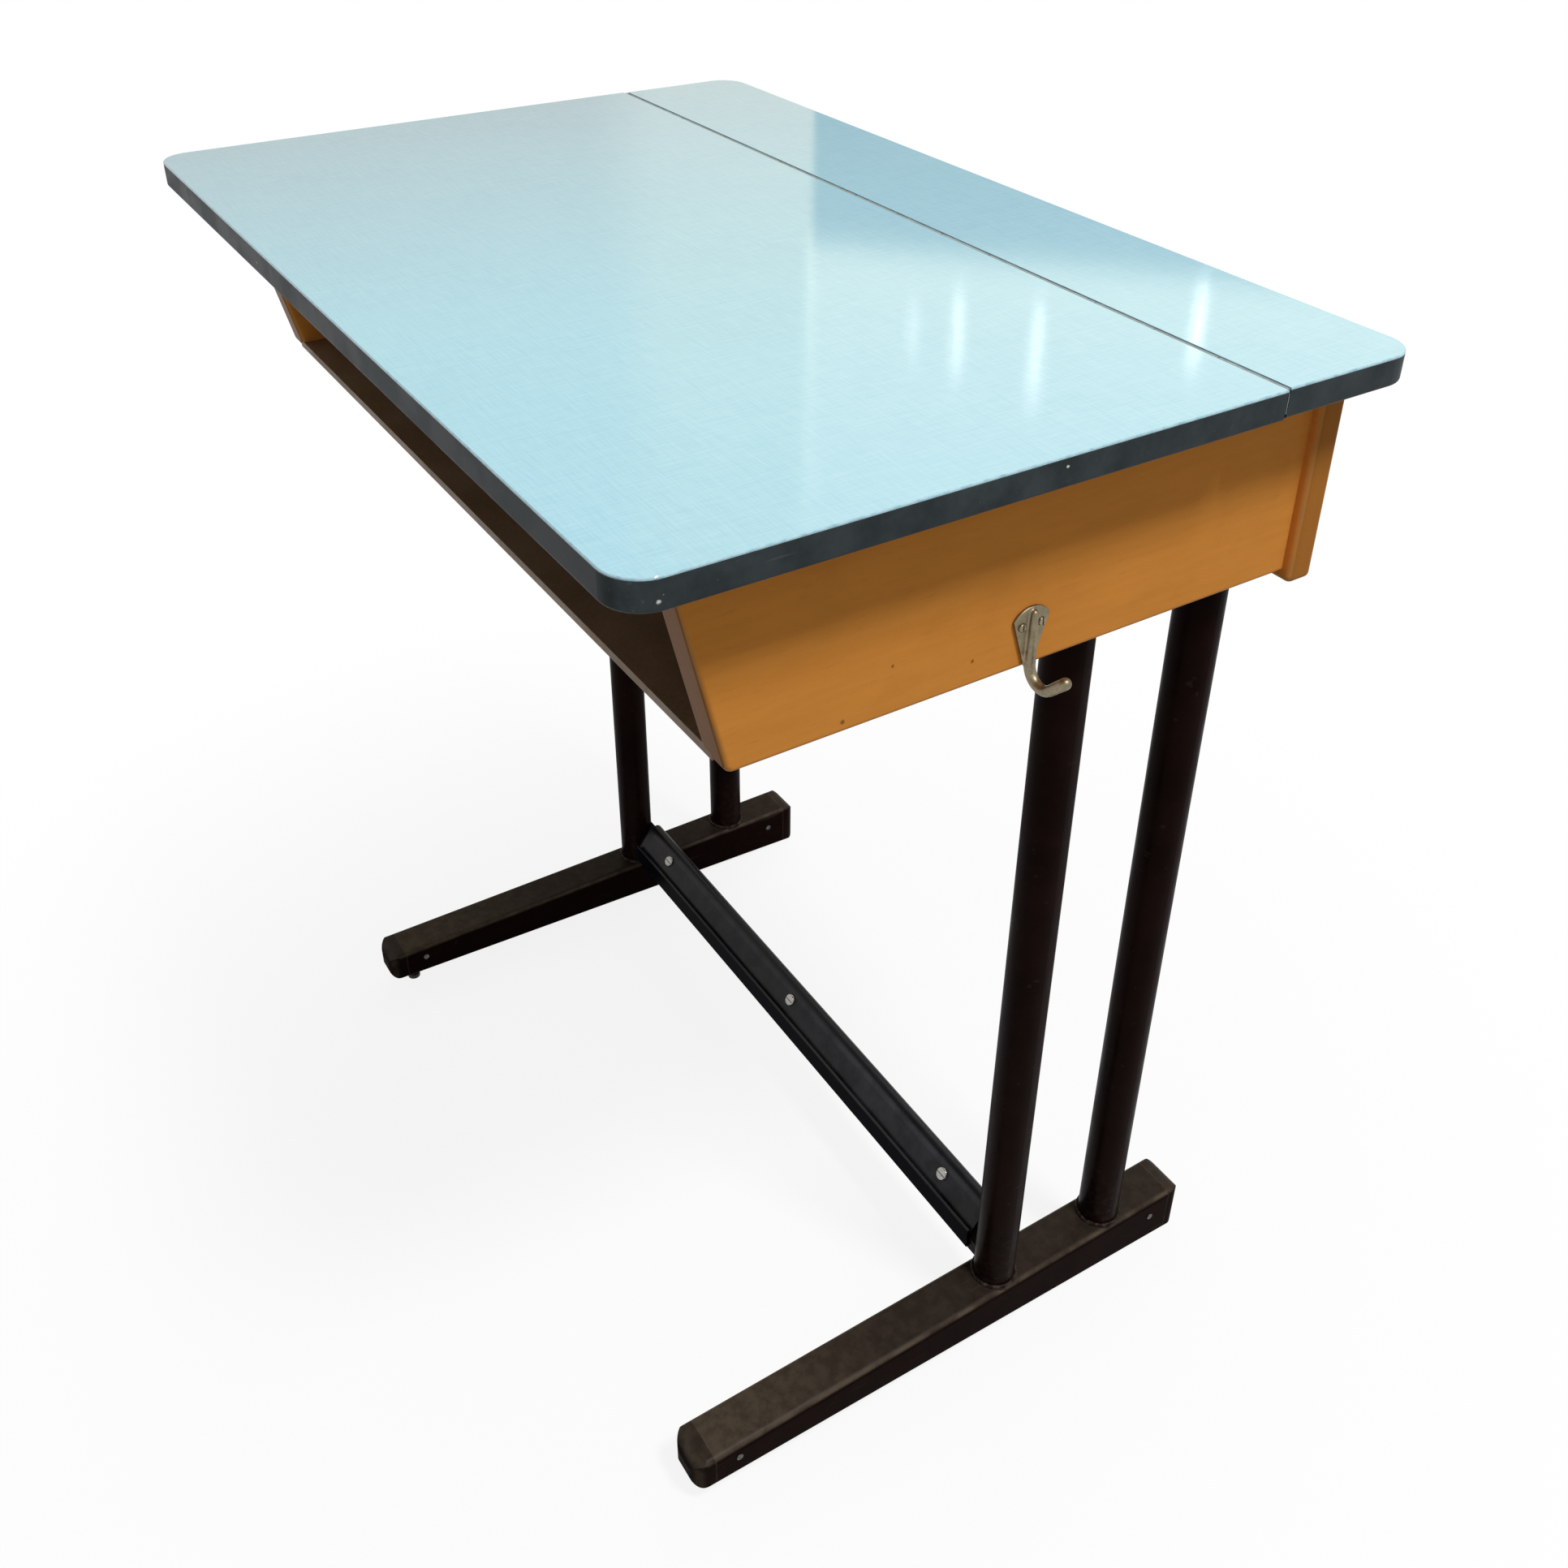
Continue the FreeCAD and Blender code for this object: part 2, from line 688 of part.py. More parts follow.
def foot_cap(joint_y, tip_y, nose_round):
    """A moulded cap, its tip rounded in side view and in plan, and the plug that holds it in the bar."""
    half = foot_width / 2
    profile = [(joint_y, foot_underside(joint_y), 0), (joint_y, foot_top, 0),
               (tip_y, foot_top, nose_round), (tip_y, foot_underside(tip_y), cap_lower_round)]
    plan = [(column_x - half, joint_y, 0), (column_x + half, joint_y, 0),
            (column_x + half, tip_y, cap_side_round), (column_x - half, tip_y, cap_side_round)]
    nose = foot_section(0, sorted((joint_y, tip_y)))
    nose = nose.common(slab(profile, lambda y, z: vec(column_x - half, y, z), vec(2 * half, 0, 0)))
    nose = nose.common(slab(plan, lambda x, y: vec(x, y, 0), vec(0, 0, foot_top)))
    inward = math.copysign(1, joint_y - tip_y)
    plug_span = sorted((joint_y, joint_y + inward * cap_plug_length))
    plug = foot_section(foot_wall + cap_plug_clearance, plug_span, inner_rounding)
    return cut_all(nose.fuse(plug), cap_rivet_holes() + [leveller_hole()])


def heel_pad():
    """A thin glide pad between the floor and the sloping underside of the heel."""
    half = heel_pad_width / 2
    end = bar_rear
    start = end - heel_pad_length
    corners = [(column_x - half, start, heel_pad_corner), (column_x + half, start, heel_pad_corner),
               (column_x + half, end, heel_pad_corner), (column_x - half, end, heel_pad_corner)]
    pad = slab(corners, lambda x, y: vec(x, y, 0), vec(0, 0, heel_depth / 2))
    return pad.cut(foot_section(0, (toe_tip, heel_tip)))


def footrest_frame():
    """The sloping web of the footrest: where its upper face starts, its direction and its downward normal."""
    lip_y = front_column_y - footrest_front
    start = vec(0, lip_y + footrest_wall, foot_top + footrest_lip_foot + footrest_trough)
    end = vec(0, lip_y + footrest_depth - footrest_crest_width, foot_top + footrest_crest)
    along = (end - start).normalize()
    down = vec(0, along.z, -along.y)
    return start, end, along, down


def footrest_half_length():
    return column_x - column_radius - footrest_end_gap


def footrest_screw_places():
    """Screw heads on the web's upper face, with the way that they face."""
    start, _, along, down = footrest_frame()
    spot = start + along * footrest_screw_height
    reach = footrest_half_length() - footrest_screw_margin
    return [(vec(x, spot.y, spot.z), down * -1) for x in (-reach, 0, reach)]


def footrest_screw_length():
    return footrest_wall + stretcher_wall + footrest_screw_extra


def footrest_screw_holes():
    hole = pan_hole(footrest_screw_radius, footrest_screw_length())
    return [put(hole, place, facing) for place, facing in footrest_screw_places()]


def footrest_screws():
    screw = pan_screw(footrest_screw_head_radius, footrest_screw_head_height,
                      footrest_screw_radius, footrest_screw_length())
    return Part.makeCompound([put(screw, place, facing) for place, facing in footrest_screw_places()])


def footrest_rail():
    """The folded rail: front lip, trough, sloping web, rounded crest and rear flange."""
    start, end, along, down = footrest_frame()
    wall = footrest_wall
    lip_y = front_column_y - footrest_front
    rear_y = lip_y + footrest_depth
    lip_low = foot_top + footrest_lip_foot
    lip_high = lip_low + footrest_lip_height
    crest_z = foot_top + footrest_crest
    rear_low = foot_top + footrest_rear_foot
    under = start + down * wall
    at_lip = under - along * ((under.y - lip_y - wall) / along.y)
    at_crest = under + along * ((crest_z - wall - under.z) / along.z)
    soft = footrest_edge_round
    corners = [(lip_y, lip_low, soft), (lip_y, lip_high, soft), (lip_y + wall, lip_high, soft),
               (start.y, start.z, soft), (end.y, end.z, footrest_fold_round),
               (rear_y, crest_z, footrest_crest_round), (rear_y, rear_low, soft),
               (rear_y - wall, rear_low, soft),
               (rear_y - wall, crest_z - wall, footrest_crest_round - wall),
               (at_crest.y, at_crest.z, footrest_fold_round - wall),
               (at_lip.y, at_lip.z, soft), (lip_y + wall, lip_low, soft)]
    half = footrest_half_length()
    rail = slab(corners, lambda y, z: vec(-half, y, z), vec(2 * half, 0, 0))
    return cut_all(rail, footrest_screw_holes())


def stretcher_bar():
    """The formed tube that carries the rail, from column to column, cut to meet each of them."""
    start, _, along, down = footrest_frame()
    lip_y = front_column_y - footrest_front
    front_y = lip_y + footrest_wall
    rear_y = lip_y + footrest_depth - footrest_wall - stretcher_clearance
    low = foot_top + footrest_lip_foot - stretcher_drop
    under = start + down * footrest_wall
    foot_of_web = under + along * ((front_y - under.y) / along.y)
    top_of_web = under + along * stretcher_reach
    soft = stretcher_corner
    corners = [(front_y, low, soft), (front_y, foot_of_web.z, soft), (top_of_web.y, top_of_web.z, soft),
               (rear_y, top_of_web.z, soft), (rear_y, low, soft)]
    outside = Part.Face(rounded_wire(corners, lambda y, z: vec(-column_x, y, z)))
    inside = outside.makeOffset2D(-stretcher_wall)
    push = vec(2 * column_x, 0, 0)
    bar = outside.extrude(push).cut(inside.extrude(push))
    tube = Part.makeCylinder(column_radius + weld_fit, top_height, vec(column_x, front_column_y, 0))
    return cut_all(bar, both_sides([tube]) + footrest_screw_holes())


def hook_plate():
    """The hook's fan-shaped back plate, arched at the top and narrow at the neck."""
    def spot(y, z):
        return vec(panel_outer, y - hook_setback, panel_bottom + z)
    half = hook_plate_width / 2
    neck = hook_neck_width / 2
    low_left, low_right = spot(-neck, hook_plate_foot), spot(neck, hook_plate_foot)
    high_left, high_right = spot(-half, hook_plate_shoulder), spot(half, hook_plate_shoulder)
    outline = [Part.LineSegment(low_right, high_right).toShape(),
               Part.Arc(high_right, spot(0, hook_plate_top), high_left).toShape(),
               Part.LineSegment(high_left, low_left).toShape(),
               Part.Arc(low_left, spot(0, hook_plate_foot - neck), low_right).toShape()]
    return Part.Face(Part.Wire(outline)).extrude(vec(hook_plate_thickness, 0, 0))


def bag_hook():
    """A round arm that runs down the plate as a ridge, then bends out and up to a rounded tip."""
    wire_x = panel_outer + hook_wire_radius + hook_wire_fit
    bend_z = panel_bottom + hook_bend_height
    start = vec(wire_x, -hook_setback, bend_z)
    crown = vec(wire_x, -hook_setback, panel_bottom + hook_ridge_top)
    centre = start + vec(hook_bend_radius, 0, 0)
    ridge = Part.makeCone(hook_wire_radius, hook_ridge_radius, (crown - start).Length, start)
    disc = Part.Face(Part.Wire(Part.makeCircle(hook_wire_radius, start, vec(0, 0, 1))))
    bend = disc.revolve(centre, vec(0, -1, 0), hook_bend_angle)
    turn = math.radians(hook_bend_angle)
    bend_end = centre + vec(-math.cos(turn), 0, -math.sin(turn)) * hook_bend_radius
    outward = vec(math.sin(turn), 0, -math.cos(turn))
    tip = bend_end + outward * hook_tip_length
    arm = Part.makeCone(hook_wire_radius, hook_tip_radius, hook_tip_length, bend_end, outward)
    elbow = Part.makeSphere(hook_ridge_radius, crown)
    pieces = [ridge, bend, arm, elbow, Part.makeSphere(hook_tip_radius, tip)]
    hook = hook_plate().multiFuse(pieces).removeSplitter()
    return cut_all(hook, hook_screw_holes())


def hook_screws():
    screw = pan_screw(hook_screw_head_radius, hook_screw_head_height, hook_screw_radius, hook_screw_length)
    return Part.makeCompound([put(screw, place, vec(1, 0, 0)) for place in hook_screw_places()])


def top_nodes():
    """The boards of the top and the hinge between them."""
    leaf = top_board(-1, half_top, leaf_depth)
    strip = top_board(1, half_top - strip_end_setback, strip_depth)
    strip["core"] = cut_all(strip["core"], both_sides(cleat_screw_holes()))
    strip["backing"] = cut_all(strip["backing"], both_sides(cleat_screw_holes()))
    nodes = {"writing_leaf_" + name: shape for name, shape in leaf.items()}
    nodes.update({"rear_strip_" + name: shape for name, shape in strip.items()})
    nodes["hinge_leaf_flange"] = hinge_flange(-1)
    nodes["hinge_strip_flange"] = hinge_flange(1)
    nodes["hinge_pin"] = hinge_pin()
    nodes["hinge_leaf_screws"] = hinge_screw_set(-1)
    nodes["hinge_strip_screws"] = hinge_screw_set(1)
    return nodes


def box_nodes():
    """The wooden book box and its fixings; pairs are made on the right and mirrored."""
    panel = side_panel()
    nodes = {"left_side_panel": mirrored(panel), "right_side_panel": cut_all(panel, hook_screw_holes())}
    nodes["back_board"] = back_board()
    nodes["book_shelf"] = book_shelf()
    for name, shape in (("shelf_bearer", shelf_bearer()), ("strip_cleat", strip_cleat())):
        nodes["right_" + name] = shape
        nodes["left_" + name] = mirrored(shape)
    nodes["leaf_bumpers"] = bumpers()
    nodes["back_board_screws"] = back_board_screws()
    nodes["strip_cleat_screws"] = cleat_screws()
    nodes["bag_hook"] = bag_hook()
    nodes["hook_screws"] = hook_screws()
    return nodes


def frame_nodes():
    """The two steel side frames, the footrest between them and what stands on the floor."""
    pairs = {"mounting_rail": mounting_rail(), "foot_bar": foot_bar(),
             "toe_cap": foot_cap(bar_front, toe_tip, toe_nose_round),
             "heel_cap": foot_cap(bar_rear, heel_tip, heel_nose_round)}
    pairs.update({row + "_column": column(y) for row, y in column_rows.items()})
    nodes = {}
    for name, shape in pairs.items():
        nodes["right_" + name] = shape
        nodes["left_" + name] = mirrored(shape)
    nodes["mounting_screws"] = mounting_screws()
    nodes["column_welds"] = column_welds()
    nodes["cap_rivets"] = cap_rivets()
    nodes["toe_levellers"] = Part.makeCompound(both_sides([toe_leveller()]))
    nodes["leveller_nuts"] = Part.makeCompound(both_sides([leveller_nut()]))
    nodes["heel_pads"] = Part.makeCompound(both_sides([heel_pad()]))
    nodes["stretcher_bar"] = stretcher_bar()
    nodes["footrest_rail"] = footrest_rail()
    nodes["footrest_screws"] = footrest_screws()
    return nodes


def save(nodes):
    """Moves the origin to the middle of the footprint and writes one file per piece."""
    os.makedirs("parts", exist_ok=True)
    for name, shape in nodes.items():
        moved = shape.copy()
        moved.translate(vec(0, origin_shift, 0))
        moved.exportStep(os.path.join("parts", name + ".step"))


save({**top_nodes(), **box_nodes(), **frame_nodes()})
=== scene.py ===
import math

import bmesh
import bpy
from bpy.props import FloatProperty, FloatVectorProperty, PointerProperty
from mathutils import Matrix, Vector, noise


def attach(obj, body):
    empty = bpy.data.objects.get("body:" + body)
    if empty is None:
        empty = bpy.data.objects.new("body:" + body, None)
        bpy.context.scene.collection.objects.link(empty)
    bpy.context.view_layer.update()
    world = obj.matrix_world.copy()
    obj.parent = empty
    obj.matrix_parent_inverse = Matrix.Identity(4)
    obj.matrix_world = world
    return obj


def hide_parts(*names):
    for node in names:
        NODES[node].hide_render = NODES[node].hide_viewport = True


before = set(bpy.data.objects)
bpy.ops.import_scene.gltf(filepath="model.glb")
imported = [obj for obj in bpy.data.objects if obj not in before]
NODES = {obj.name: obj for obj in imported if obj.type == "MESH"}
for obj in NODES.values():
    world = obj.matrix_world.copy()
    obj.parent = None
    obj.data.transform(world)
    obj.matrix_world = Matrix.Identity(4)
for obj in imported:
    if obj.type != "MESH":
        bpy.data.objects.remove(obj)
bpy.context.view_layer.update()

bl_info = {
    "name": "School desk finishes",
    "version": (1, 0, 0),
    "blender": (4, 5, 0),
    "location": "3D View > Sidebar > Desk",
    "description": "Gives each piece of the school desk its finish and sets the desk on a plain stage",
    "category": "Material",
}

FIXED_BODY = "desk_frame"
WHITE = (1.0, 1.0, 1.0, 1.0)
WARM_SHEEN = (1.0, 0.74, 0.62, 1.0)

# Sockets of the Mix node when it mixes colours
MIX_FACTOR, MIX_FIRST, MIX_SECOND, MIX_COLOUR = 0, 6, 7, 2

# How far up a face looks before dust or sheen begins, and where that is complete
DUST_FACING = (0.45, 0.95)
FOOT_SHEEN_FACING = (0.25, 0.75)
FOOTREST_SHEEN_FACING = (0.20, 0.70)
RIM_FACING = (0.93, 0.70)

# Small marks: place in metres and radius
BAND_CHIPS = (((0.350, -0.0146, 0.7445), 0.0010), ((0.350, -0.2212, 0.7388), 0.0013),
              ((0.3495, -0.2190, 0.7415), 0.0006), ((-0.12, -0.238, 0.741), 0.0009),
              ((0.21, 0.2235, 0.739), 0.0010))
PANEL_DENTS = (((0.3163, -0.0812, 0.6427), 0.0012), ((0.3163, -0.1095, 0.6206), 0.0017),
               ((0.3163, -0.0323, 0.6288), 0.0014), ((-0.3163, 0.021, 0.634), 0.0026))
BACK_DENTS = (((0.112, 0.2065, 0.652), 0.0028),)

# Colours of pieces that are mostly hidden, each pair from dark to light or from ground to figure
CHIP_TONES = ((0.36, 0.24, 0.13), (0.66, 0.50, 0.32))
BACKING_TONES = ((0.235, 0.155, 0.092), (0.28, 0.19, 0.115))
BACKING_FIBRE = (0.36, 0.27, 0.18)
HINGE_TONES = ((0.26, 0.30, 0.325), (0.36, 0.395, 0.415))
HINGE_TARNISH = (0.22, 0.21, 0.19)
SHELF_TONES = ((0.185, 0.118, 0.068), (0.23, 0.152, 0.090))
SHELF_FIBRE = (0.33, 0.23, 0.145)
SHELF_EDGE = (0.40, 0.26, 0.15)
SOFTWOOD_TONES = ((0.62, 0.42, 0.21), (0.42, 0.255, 0.11))
SOFTWOOD_PORES = (0.24, 0.13, 0.05)
SOFTWOOD_EDGE = (0.70, 0.52, 0.30)
NYLON_TONES = ((0.011, 0.010, 0.010), (0.026, 0.024, 0.022))
RUBBER_TONES = ((0.016, 0.016, 0.016), (0.045, 0.043, 0.040))

# Wear on the footrest and on plated steel; the footrest's rub colour is also a painted highlight on its
# edges
FOOTREST_DUST = (0.022, 0.024, 0.029)
FOOTREST_SCUFF = (0.06, 0.063, 0.068)
FOOTREST_RUB_AND_HIGHLIGHT = (0.08, 0.083, 0.088)
STEEL_TARNISH = (0.10, 0.075, 0.05)

# Remeshed pieces
MERGE_DISTANCE = 1e-6
WELD_VOXEL = 0.0006
WELD_SMOOTHING = 2
RIPPLES_PER_METRE = 420.0
RIPPLE_SINK = 0.6
HOOK_SMOOTHING = 5

# Figure of the plywood: its density across the grain, and the axes
PLY_FIGURE = 46.0
AXIS_X, AXIS_Y = 0, 1

# Stage: place, aim and size of each light, in metres
KEY_LIGHT = {"where": (1.97, 0.5, 3.97), "aim": (0.2, 0.0, 0.5), "size": (0.7, 0.7)}
LEFT_WINDOW = {"where": (-2.020, 0.497, 1.87), "aim": (0.83, -0.428, 1.87), "size": (1.567, 1.84)}
REAR_WINDOW = {"where": (-1.199, 1.749, 2.12), "aim": (0.841, -0.441, 2.12), "size": (1.543, 1.34)}
REAR_WINDOW_TONE = (1.0, 0.95, 0.70)
DIM_WALL = {"where": (-2.532, 1.717, 2.05), "aim": (0.823, -0.462, 2.05), "size": (3.9, 2.5)}
SLIT_AIM = (0.20, 0.08, 0.75)
SLITS = (((-2.080, 1.732, 1.84), (0.006, 0.10)), ((-2.001, 1.806, 1.84), (0.010, 0.18)),
         ((-1.862, 1.935, 1.87), (0.011, 0.22)), ((-1.597, 2.180, 1.76), (0.015, 0.17)))

# Left window: where its two halves meet and how far up its foot reaches, from the card's middle
WINDOW_HALVES = (-0.33, -0.50)
WINDOW_FOOT = (-0.87, -0.13)

# Left window: foot and head of its shaded and of its clear half
WINDOW_SHADED = ((0.61, 0.36, 0.24), (0.75, 0.85, 0.74))
WINDOW_CLEAR = ((0.80, 0.59, 0.46), (1.0, 1.0, 0.74))

# Floor: share of its tone in bounced light, and where its shadows fade to white
FLOOR_RADIUS = 6.0
FLOOR_SEGMENTS = 96
FLOOR_BOUNCE = 0.45
FLOOR_FADE = (0.25, 0.95)
FLOOR_WHITE = (0.86, 1.0)

# Camera
IMAGE_SIZE = 1932
SENSOR_WIDTH = 36.0
NEAREST_VIEW = 0.05


def colour(label, words, value):
    return FloatVectorProperty(name=label, description=words, default=value, size=3,
                               min=0.0, max=1.0, subtype="COLOR")


def length(label, words, value):
    return FloatProperty(name=label, description=words, default=value, min=0.0,
                         subtype="DISTANCE", unit="LENGTH")


class DeskColours(bpy.types.PropertyGroup):
    """Colours of the desk's finishes."""

    laminate: colour("Laminate", "Ground of the blue linen print", (0.343, 0.633, 0.770))
    laminate_thread: colour("Laminate thread", "Pale threads of the linen print", (0.435, 0.718, 0.830))
    # Rim colour: partly the laminate's cut edge, partly a painted highlight along it
    laminate_rim_and_highlight: colour("Laminate rim", "Cut edge of the laminate", (0.46, 0.70, 0.78))
    band: colour("Edge band", "Dark plastic round the boards", (0.039, 0.049, 0.053))
    band_chip: colour("Band chip", "Bare spots in the edge band", (0.72, 0.74, 0.68))
    varnish: colour("Varnished ply", "Lit tone of the varnished plywood", (0.740, 0.295, 0.054))
    varnish_deep: colour("Varnished ply, deep", "Darker figure of the plywood", (0.596, 0.225, 0.039))
    # Rounded plywood edges: partly rubbed varnish, partly a painted highlight
    ply_edge_wear_and_highlight: colour("Rounded ply edge", "Rubbed edges of the plywood", (0.50, 0.25, 0.095))
    paint: colour("Frame paint", "Near-black brown paint of the tubes", (0.0095, 0.0042, 0.0036))
    paint_worn: colour("Worn paint", "Rubbed paint on the foot bars", (0.050, 0.038, 0.027))
    cap: colour("Foot caps", "Moulded plastic caps", (0.0095, 0.0055, 0.0045))
    footrest: colour("Footrest enamel", "Blue-black enamel of the footrest", (0.0045, 0.0046, 0.0068))
    steel: colour("Plated steel", "Screws, rivets and glides", (0.34, 0.335, 0.32))
    bronze: colour("Hook metal", "Dull bronzed metal of the hook", (0.27, 0.228, 0.148))


class DeskSizes(bpy.types.PropertyGroup):
    """Scale of the detail in the finishes."""

    thread_pitch: length("Linen thread pitch", "Spacing of the linen print's threads", 0.00065)
    thread_run: length("Linen thread run", "Length over which a thread keeps its tone", 0.02)
    ply_pitch: length("Ply thickness", "Thickness of one ply in the boards' edges", 0.0026)
    grain_run: length("Grain run", "Length of the wood's figure along the grain", 0.22)
    # How far the rubbed wear and the painted edge highlight reach from an edge
    rub_and_highlight_width: length("Rubbed width", "How far wear reaches from an edge", 0.0016)
    bead_ripple: length("Weld ripple", "Height of the ripples on a weld bead", 0.00025)
    hook_voxel: length("Hook detail", "Finest detail kept in the cast hook", 0.0005)


class DeskStage(bpy.types.PropertyGroup):
    """Camera and light."""

    camera_place: FloatVectorProperty(name="Camera place", description="Where the camera stands", size=3,
                                      default=(0.8231, -0.4622, 1.0526), subtype="TRANSLATION",
                                      unit="LENGTH")
    camera_target: FloatVectorProperty(name="Camera target", description="What the camera looks at", size=3,
                                       default=(-0.02928, 0.08338, 0.40439), subtype="TRANSLATION",
                                       unit="LENGTH")
    camera_roll: FloatProperty(name="Camera roll", description="Tilt of the picture", subtype="ANGLE",
                               unit="ROTATION", default=math.radians(0.452))
    focal_pixels: FloatProperty(name="Focal length", description="In pixels of the square picture",
                                default=1950.8)
    centre_x: FloatProperty(name="Picture centre x", description="In pixels from the left", default=976.77)
    centre_y: FloatProperty(name="Picture centre y", description="In pixels from the top", default=809.18)
    floor: colour("Floor", "Plain pale floor", (0.95, 0.95, 0.95))
    ambient: FloatProperty(name="Ambient light", description="Soft light from all round", default=0.28,
                           min=0.0)
    key_power: FloatProperty(name="Key light", description="Soft light high on the hook side",
                             default=106.0, min=0.0, subtype="POWER", unit="POWER")
    left_glow: FloatProperty(name="Left window", description="Brightness of the window on the far side",
                             default=1.3, min=0.0)
    slit_glow: FloatProperty(name="Window slits", default=4.5, min=0.0,
                             description="Brightness of the narrow gaps between the windows")
    rear_power: FloatProperty(name="Rear window", description="Upright soft light behind the desk",
                              default=8.4, min=0.0, subtype="POWER", unit="POWER")


def feed(tree, given, value):
    """Links a socket to an input, or sets the input's own value."""
    if isinstance(value, bpy.types.NodeSocket):
        tree.links.new(value, given)
    else:
        given.default_value = value


def node(tree, kind, sockets=None, **settings):
    """Adds a node, with its settings, and its inputs given as values or as sockets to link."""
    made = tree.nodes.new(kind)
    for name, value in settings.items():
        setattr(made, name, value)
    for name, value in (sockets or {}).items():
        feed(tree, made.inputs[name], value)
    return made


def maths(tree, operation, first, second=0.0, clamp=False):
    sockets = {0: first, 1: second}
    return node(tree, "ShaderNodeMath", sockets, operation=operation, use_clamp=clamp).outputs[0]


def times(tree, first, second, clamp=False):
    return maths(tree, "MULTIPLY", first, second, clamp)


def vectors(tree, operation, sockets):
    return node(tree, "ShaderNodeVectorMath", sockets, operation=operation).outputs[0]


def blend(tree, factor, first, second):
    """A mix of two colours, each a socket or three numbers."""
    made = node(tree, "ShaderNodeMix", data_type="RGBA", blend_type="MIX")
    feed(tree, made.inputs[MIX_FACTOR], factor)
    for index, value in ((MIX_FIRST, first), (MIX_SECOND, second)):
        plain = not isinstance(value, bpy.types.NodeSocket)
        feed(tree, made.inputs[index], (*value, 1.0) if plain else value)
    return made.outputs[MIX_COLOUR]


def spread(tree, value, low, high, to_low=0.0, to_high=1.0):
    """A smooth step between two values."""
    sockets = {"Value": value, "From Min": low, "From Max": high, "To Min": to_low, "To Max": to_high}
    return node(tree, "ShaderNodeMapRange", sockets, interpolation_type="SMOOTHSTEP").outputs["Result"]


def place(tree):
    """A point's place on the desk at rest, in metres."""
    return node(tree, "ShaderNodeTexCoord").outputs["Object"]


def stretched(tree, factors):
    """That place with each axis scaled by its own factor."""
    return vectors(tree, "MULTIPLY", {0: place(tree), 1: factors})


def own_normal(tree, normal):
    """A normal turned with the piece, so that a mask stays put when the leaf is raised."""
    return node(tree, "ShaderNodeVectorTransform", {"Vector": normal}, vector_type="NORMAL",
                convert_from="WORLD", convert_to="OBJECT").outputs[0]


def axes(tree, vector):
    made = node(tree, "ShaderNodeSeparateXYZ", {0: vector})
    return made.outputs["X"], made.outputs["Y"], made.outputs["Z"]


def upward(tree, low, high):
    """A mask of the faces that look up."""
    normal = own_normal(tree, node(tree, "ShaderNodeNewGeometry").outputs["Normal"])
    return spread(tree, axes(tree, normal)[2], low, high)


def shown(tree):
    """1 for the rays that show the background: the camera's own and those that metal and gloss send on."""
    rays = node(tree, "ShaderNodeLightPath").outputs
    passed_on = maths(tree, "MAXIMUM", rays["Is Glossy Ray"], rays["Is Transmission Ray"])
    return maths(tree, "MAXIMUM", rays["Is Camera Ray"], passed_on)


def cloud(tree, vector, scale, detail=4.0, roughness=0.55):
    sockets = {"Vector": vector, "Scale": scale, "Detail": detail, "Roughness": roughness}
    return node(tree, "ShaderNodeTexNoise", sockets).outputs["Fac"]


class Effect:
    """A shader node group with named sockets, made once and used by several finishes."""

    def __init__(self, name, inputs, outputs):
        self.tree = bpy.data.node_groups.new(name, "ShaderNodeTree")
        for label, kind, default in inputs:
            socket = self.tree.interface.new_socket(label, in_out="INPUT", socket_type="NodeSocket" + kind)
            socket.default_value = default
        for label, kind in outputs:
            self.tree.interface.new_socket(label, in_out="OUTPUT", socket_type="NodeSocket" + kind)
        self.given = self.tree.nodes.new("NodeGroupInput").outputs
        self.result = self.tree.nodes.new("NodeGroupOutput").inputs

    def give(self, label, socket):
        self.tree.links.new(socket, self.result[label])


def make_mottle():
    """Cloudy change of tone."""
    group = Effect("Mottle", [("Scale", "Float", 40.0), ("Low", "Float", 0.35), ("High", "Float", 0.65)],
                   [("Value", "Float")])
    tree = group.tree
    cloudy = cloud(tree, place(tree), group.given["Scale"], 6.0, 0.6)
    group.give("Value", spread(tree, cloudy, group.given["Low"], group.given["High"]))
    return tree


def make_rubbed_and_highlit_edges():
    """Wear and painted highlight where a flat-sided piece turns a corner, broken up by noise."""
    group = Effect("Rubbed And Highlit Edges",
                   [("Width", "Float", 0.0015), ("Breakup", "Float", 90.0), ("Amount", "Float", 1.0)],
                   [("Mask", "Float")])
    tree = group.tree
    soft = node(tree, "ShaderNodeBevel", {"Radius": group.given["Width"]}, samples=6).outputs["Normal"]
    x, y, z = axes(tree, own_normal(tree, soft))
    largest = maths(tree, "MAXIMUM", maths(tree, "ABSOLUTE", x), maths(tree, "ABSOLUTE", y))
    largest = maths(tree, "MAXIMUM", largest, maths(tree, "ABSOLUTE", z))
    corner = spread(tree, largest, 0.965, 0.76)
    broken = spread(tree, cloud(tree, place(tree), group.given["Breakup"]), 0.32, 0.62, 0.25, 1.0)
    worn = times(tree, corner, broken)
    group.give("Mask", times(tree, worn, group.given["Amount"], clamp=True))
    return tree


def make_dust():
    """Dust and rubbing on faces that look up."""
    group = Effect("Settled Dust", [("Scale", "Float", 55.0), ("Amount", "Float", 0.5)],
                   [("Mask", "Float")])
    tree = group.tree
    facing = upward(tree, *DUST_FACING)
    patches = spread(tree, cloud(tree, place(tree), group.given["Scale"], 8.0, 0.65), 0.34, 0.66)
    group.give("Mask", times(tree, times(tree, facing, patches), group.given["Amount"]))
    return tree


